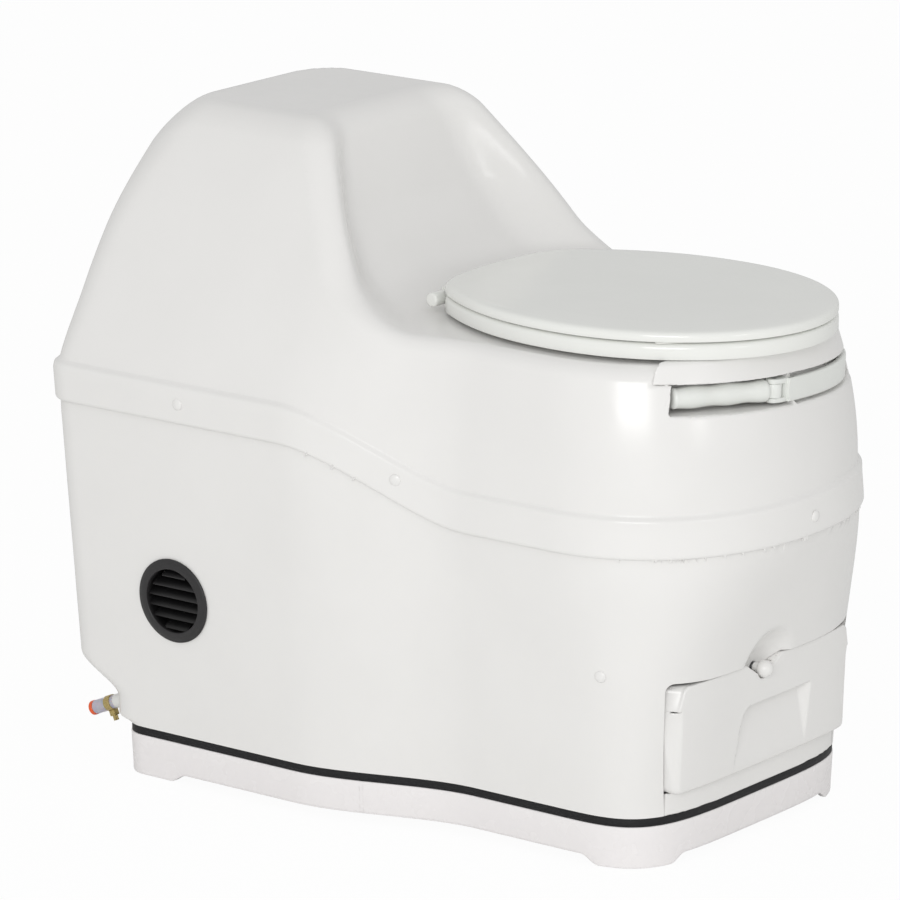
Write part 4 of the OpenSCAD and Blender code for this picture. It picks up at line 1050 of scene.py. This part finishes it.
feed(tree, shader, {"Base Color": (shade, "Vector"), "Roughness": (sheen, "Result"),
                    "Normal": (grain, "Normal")})
flangeProfile = [(37, -16), (43, -16), (43, 0.3), (48.6, 0.3)] + arc(47.6, 1.4, 1.4, -50, 60, 5) + \
    [(42.5, 3.7)] + arc(38.6, 2.5, 1.5, 80, 180, 5) + [(37, -16)]
louvre = turned("louvreRing", flangeProfile, 96)
slats = []
for number in range(louvreSet["slats"]):
    off = (number - 2.5) * 2 * louvreSet["inner"] / louvreSet["slats"]
    reach = math.sqrt(37.6 ** 2 - (abs(off) + 3) ** 2)
    slat = box("slat" + str(number), (-0.8, -reach, -7.5), (0.8, reach, 7.5))
    bevelWhere(slat, lambda a, b: abs(a.y - b.y) > 5, 0.6, 2)
    slats.append(stand(slat, (off, 0, -7), (0, -35, 0)))
louvre = stand(together("ventLouvre", louvre, *slats), louvreAt, (0, louvreSet["turn"], 0))
finish(louvre, louvrePlastic, "casing", "louvre_plastic", "vent_louvre")

# drain: spigot, translucent hose, worm clamp and plug on one slanting axis
pipePlastic = glossPlastic("white extruded PVC pipe", "#e2e2df", "#dcdcd8", 0.36, 0.01, 0.02)
hoseLook = {"IOR": 1.52, "Transmission Weight": 0.45, "Subsurface Weight": 0.25, "Subsurface Scale": 0.004}
hosePlastic = speckled("translucent soft PVC hose", hoseLook, {"Scale": 160.0, "Detail": 3.0},
                       [(0.3, "#d9d6e6"), (0.7, "#eae8f2")], (0, 1, 0.22, 0.4))
clampZinc = speckled("yellow-chromated zinc-plated steel band", {"Metallic": 1.0},
                     {"Scale": 700.0, "Detail": 4.0},
                     [(0.3, "#a8935a"), (0.6, "#cdb980"), (0.8, "#b7b09a")], (0, 1, 0.25, 0.5))
plugPlastic = glossPlastic("orange moulded polyethylene plug", "#f0632f", "#e2561f", 0.3, 0.01, 0.02)

spigotProfile = [(3.5, -24), (5, -24), (5, -22), (9.6, -22), (9.6, -19), (8, -19), (8, 3), (5, 3), (5, 18.8),
                 (4.4, 20), (3.5, 20), (3.5, -24)]
spigot = turned("drainSpigot", spigotProfile)
finish(stand(spigot, drainAt, drainTurn), pipePlastic, "casing", "pipe_plastic", "drain_spigot")
hoseProfile = [(5, 3.3), (7.6, 3.3), (8, 3.7), (8, 7.6), (7.9, 8.2), (7.9, 16.8), (8, 17.4), (8, 35.8),
               (7.6, 36.3), (6.3, 36.3), (6, 36), (6, 19.3), (5, 19.3), (5, 3.3)]
hose = turned("drainHose", hoseProfile, 64)
finish(stand(hose, drainAt, drainTurn), hosePlastic, "casing", "hose_plastic", "drain_hose")
band = turned("clampBand", [(8.05, 8), (8.9, 8), (9, 8.2), (9, 16.8), (8.9, 17), (8.05, 17), (8.05, 8)], 64)
house = box("clampHouse", (-4, 8.2, 8.5), (4, 15.2, 16.5))
bevelWhere(house, anyOf, 0.8, 2)
worm = rod("clampWorm", 3.2, (0, 15, 12.5), (0, 21, 12.5), 6)
bevelWhere(worm, squareTo("y"), 0.5, 2)
cutBy(worm, box("driverSlot", (-0.5, 20, 8), (0.5, 22, 17)))
clamp = stand(together("hoseClamp", band, house, worm), drainAt, drainTurn)
finish(clamp, clampZinc, "casing", "clamp_zinc", "hose_clamp")
plugProfile = [(0, 22), (5.2, 22), (5.95, 23), (5.95, 36.6), (8, 36.6), (8.4, 37), (8.4, 41), (7.9, 41.6),
               (0, 41.6)]
plug = turned("drainPlug", plugProfile)
finish(stand(plug, drainAt, drainTurn), plugPlastic, "plug", "plug_plastic", "drain_plug")

nutProfile = [(4, -14), (7.8, -14), (7.8, 0.5), (12, 0.5), (12, 5.6), (11.6, 6), (9.5, 6), (9.5, 16.8),
              (8.6, 18), (4, 18), (4, -14)]
gland = turned("cableGland", nutProfile, 6)
bodyProfile = [(4, -14), (7.7, -14), (7.7, 0.5), (9.2, 0.5), (9.2, 12), (8.2, 13), (4, 13), (4, -14)]
flange = turned("glandBody", bodyProfile)
gland = stand(together("cableGland", flange, gland), glandAt, (-90, 0, 0))
finish(gland, louvrePlastic, "casing", "louvre_plastic", "cable_gland")
collarProfile = [(40, 0.1), (40, 54.2), (40.6, 55), (41.6, 55), (42, 54.4), (42, 3), (54, 3), (54, 0),
                 (40, 0.1)]
collar = turned("ventCollar", collarProfile, 96)
plate = box("collarPlate", (-56, 0, -56), (56, 3, 56))
cutBy(plate, rod("plateBore", 50, (0, -5, 0), (0, 8, 0), 96))
stand(collar, (0, 0, 0), (-90, 0, 0))
collar = stand(together("ventCollar", collar, plate), collarAt)
finish(collar, pipePlastic, "casing", "pipe_plastic", "vent_collar")
print("fittings done")

# materials of the parts inside, which keep their CAD shapes
innerPlastic = glossPlastic("grey moulded polypropylene", "#6f7375", "#5f6466", 0.42, 0.02, 0.05)
steel = speckled("cold-rolled stainless steel", {"Metallic": 1.0}, {"Scale": 1.0, "Detail": 3.0},
                 [(0.3, "#a6a8aa"), (0.7, "#c4c6c8")], (0, 1, 0.24, 0.44), stretch=(40.0, 900.0, 900.0))
carried = [(steel, "shell_screws grip_pin crank_sleeve crank_sprocket drive_chain drum_sprocket drum_axles "
                   "mixing_bars door_pin front_frame rear_frame lock_stem drawer_runners heater_element"),
           (innerPlastic, "finishing_drawer drum_shell drum_front_disc drum_rear_disc drum_door fan_housing "
                          "fan_motor evaporating_tray lock_guide crank_bushing front_bearing rear_bearing"),
           (sealRubber, "foot_pads"), (pipePlastic, "thermostat"), (louvrePlastic, "fan_impeller")]
for material, names in carried:
    for name in names.split():
        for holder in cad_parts[name].material_slots:
            holder.link = "OBJECT"
            holder.material = material
print("carried-over parts given their materials")
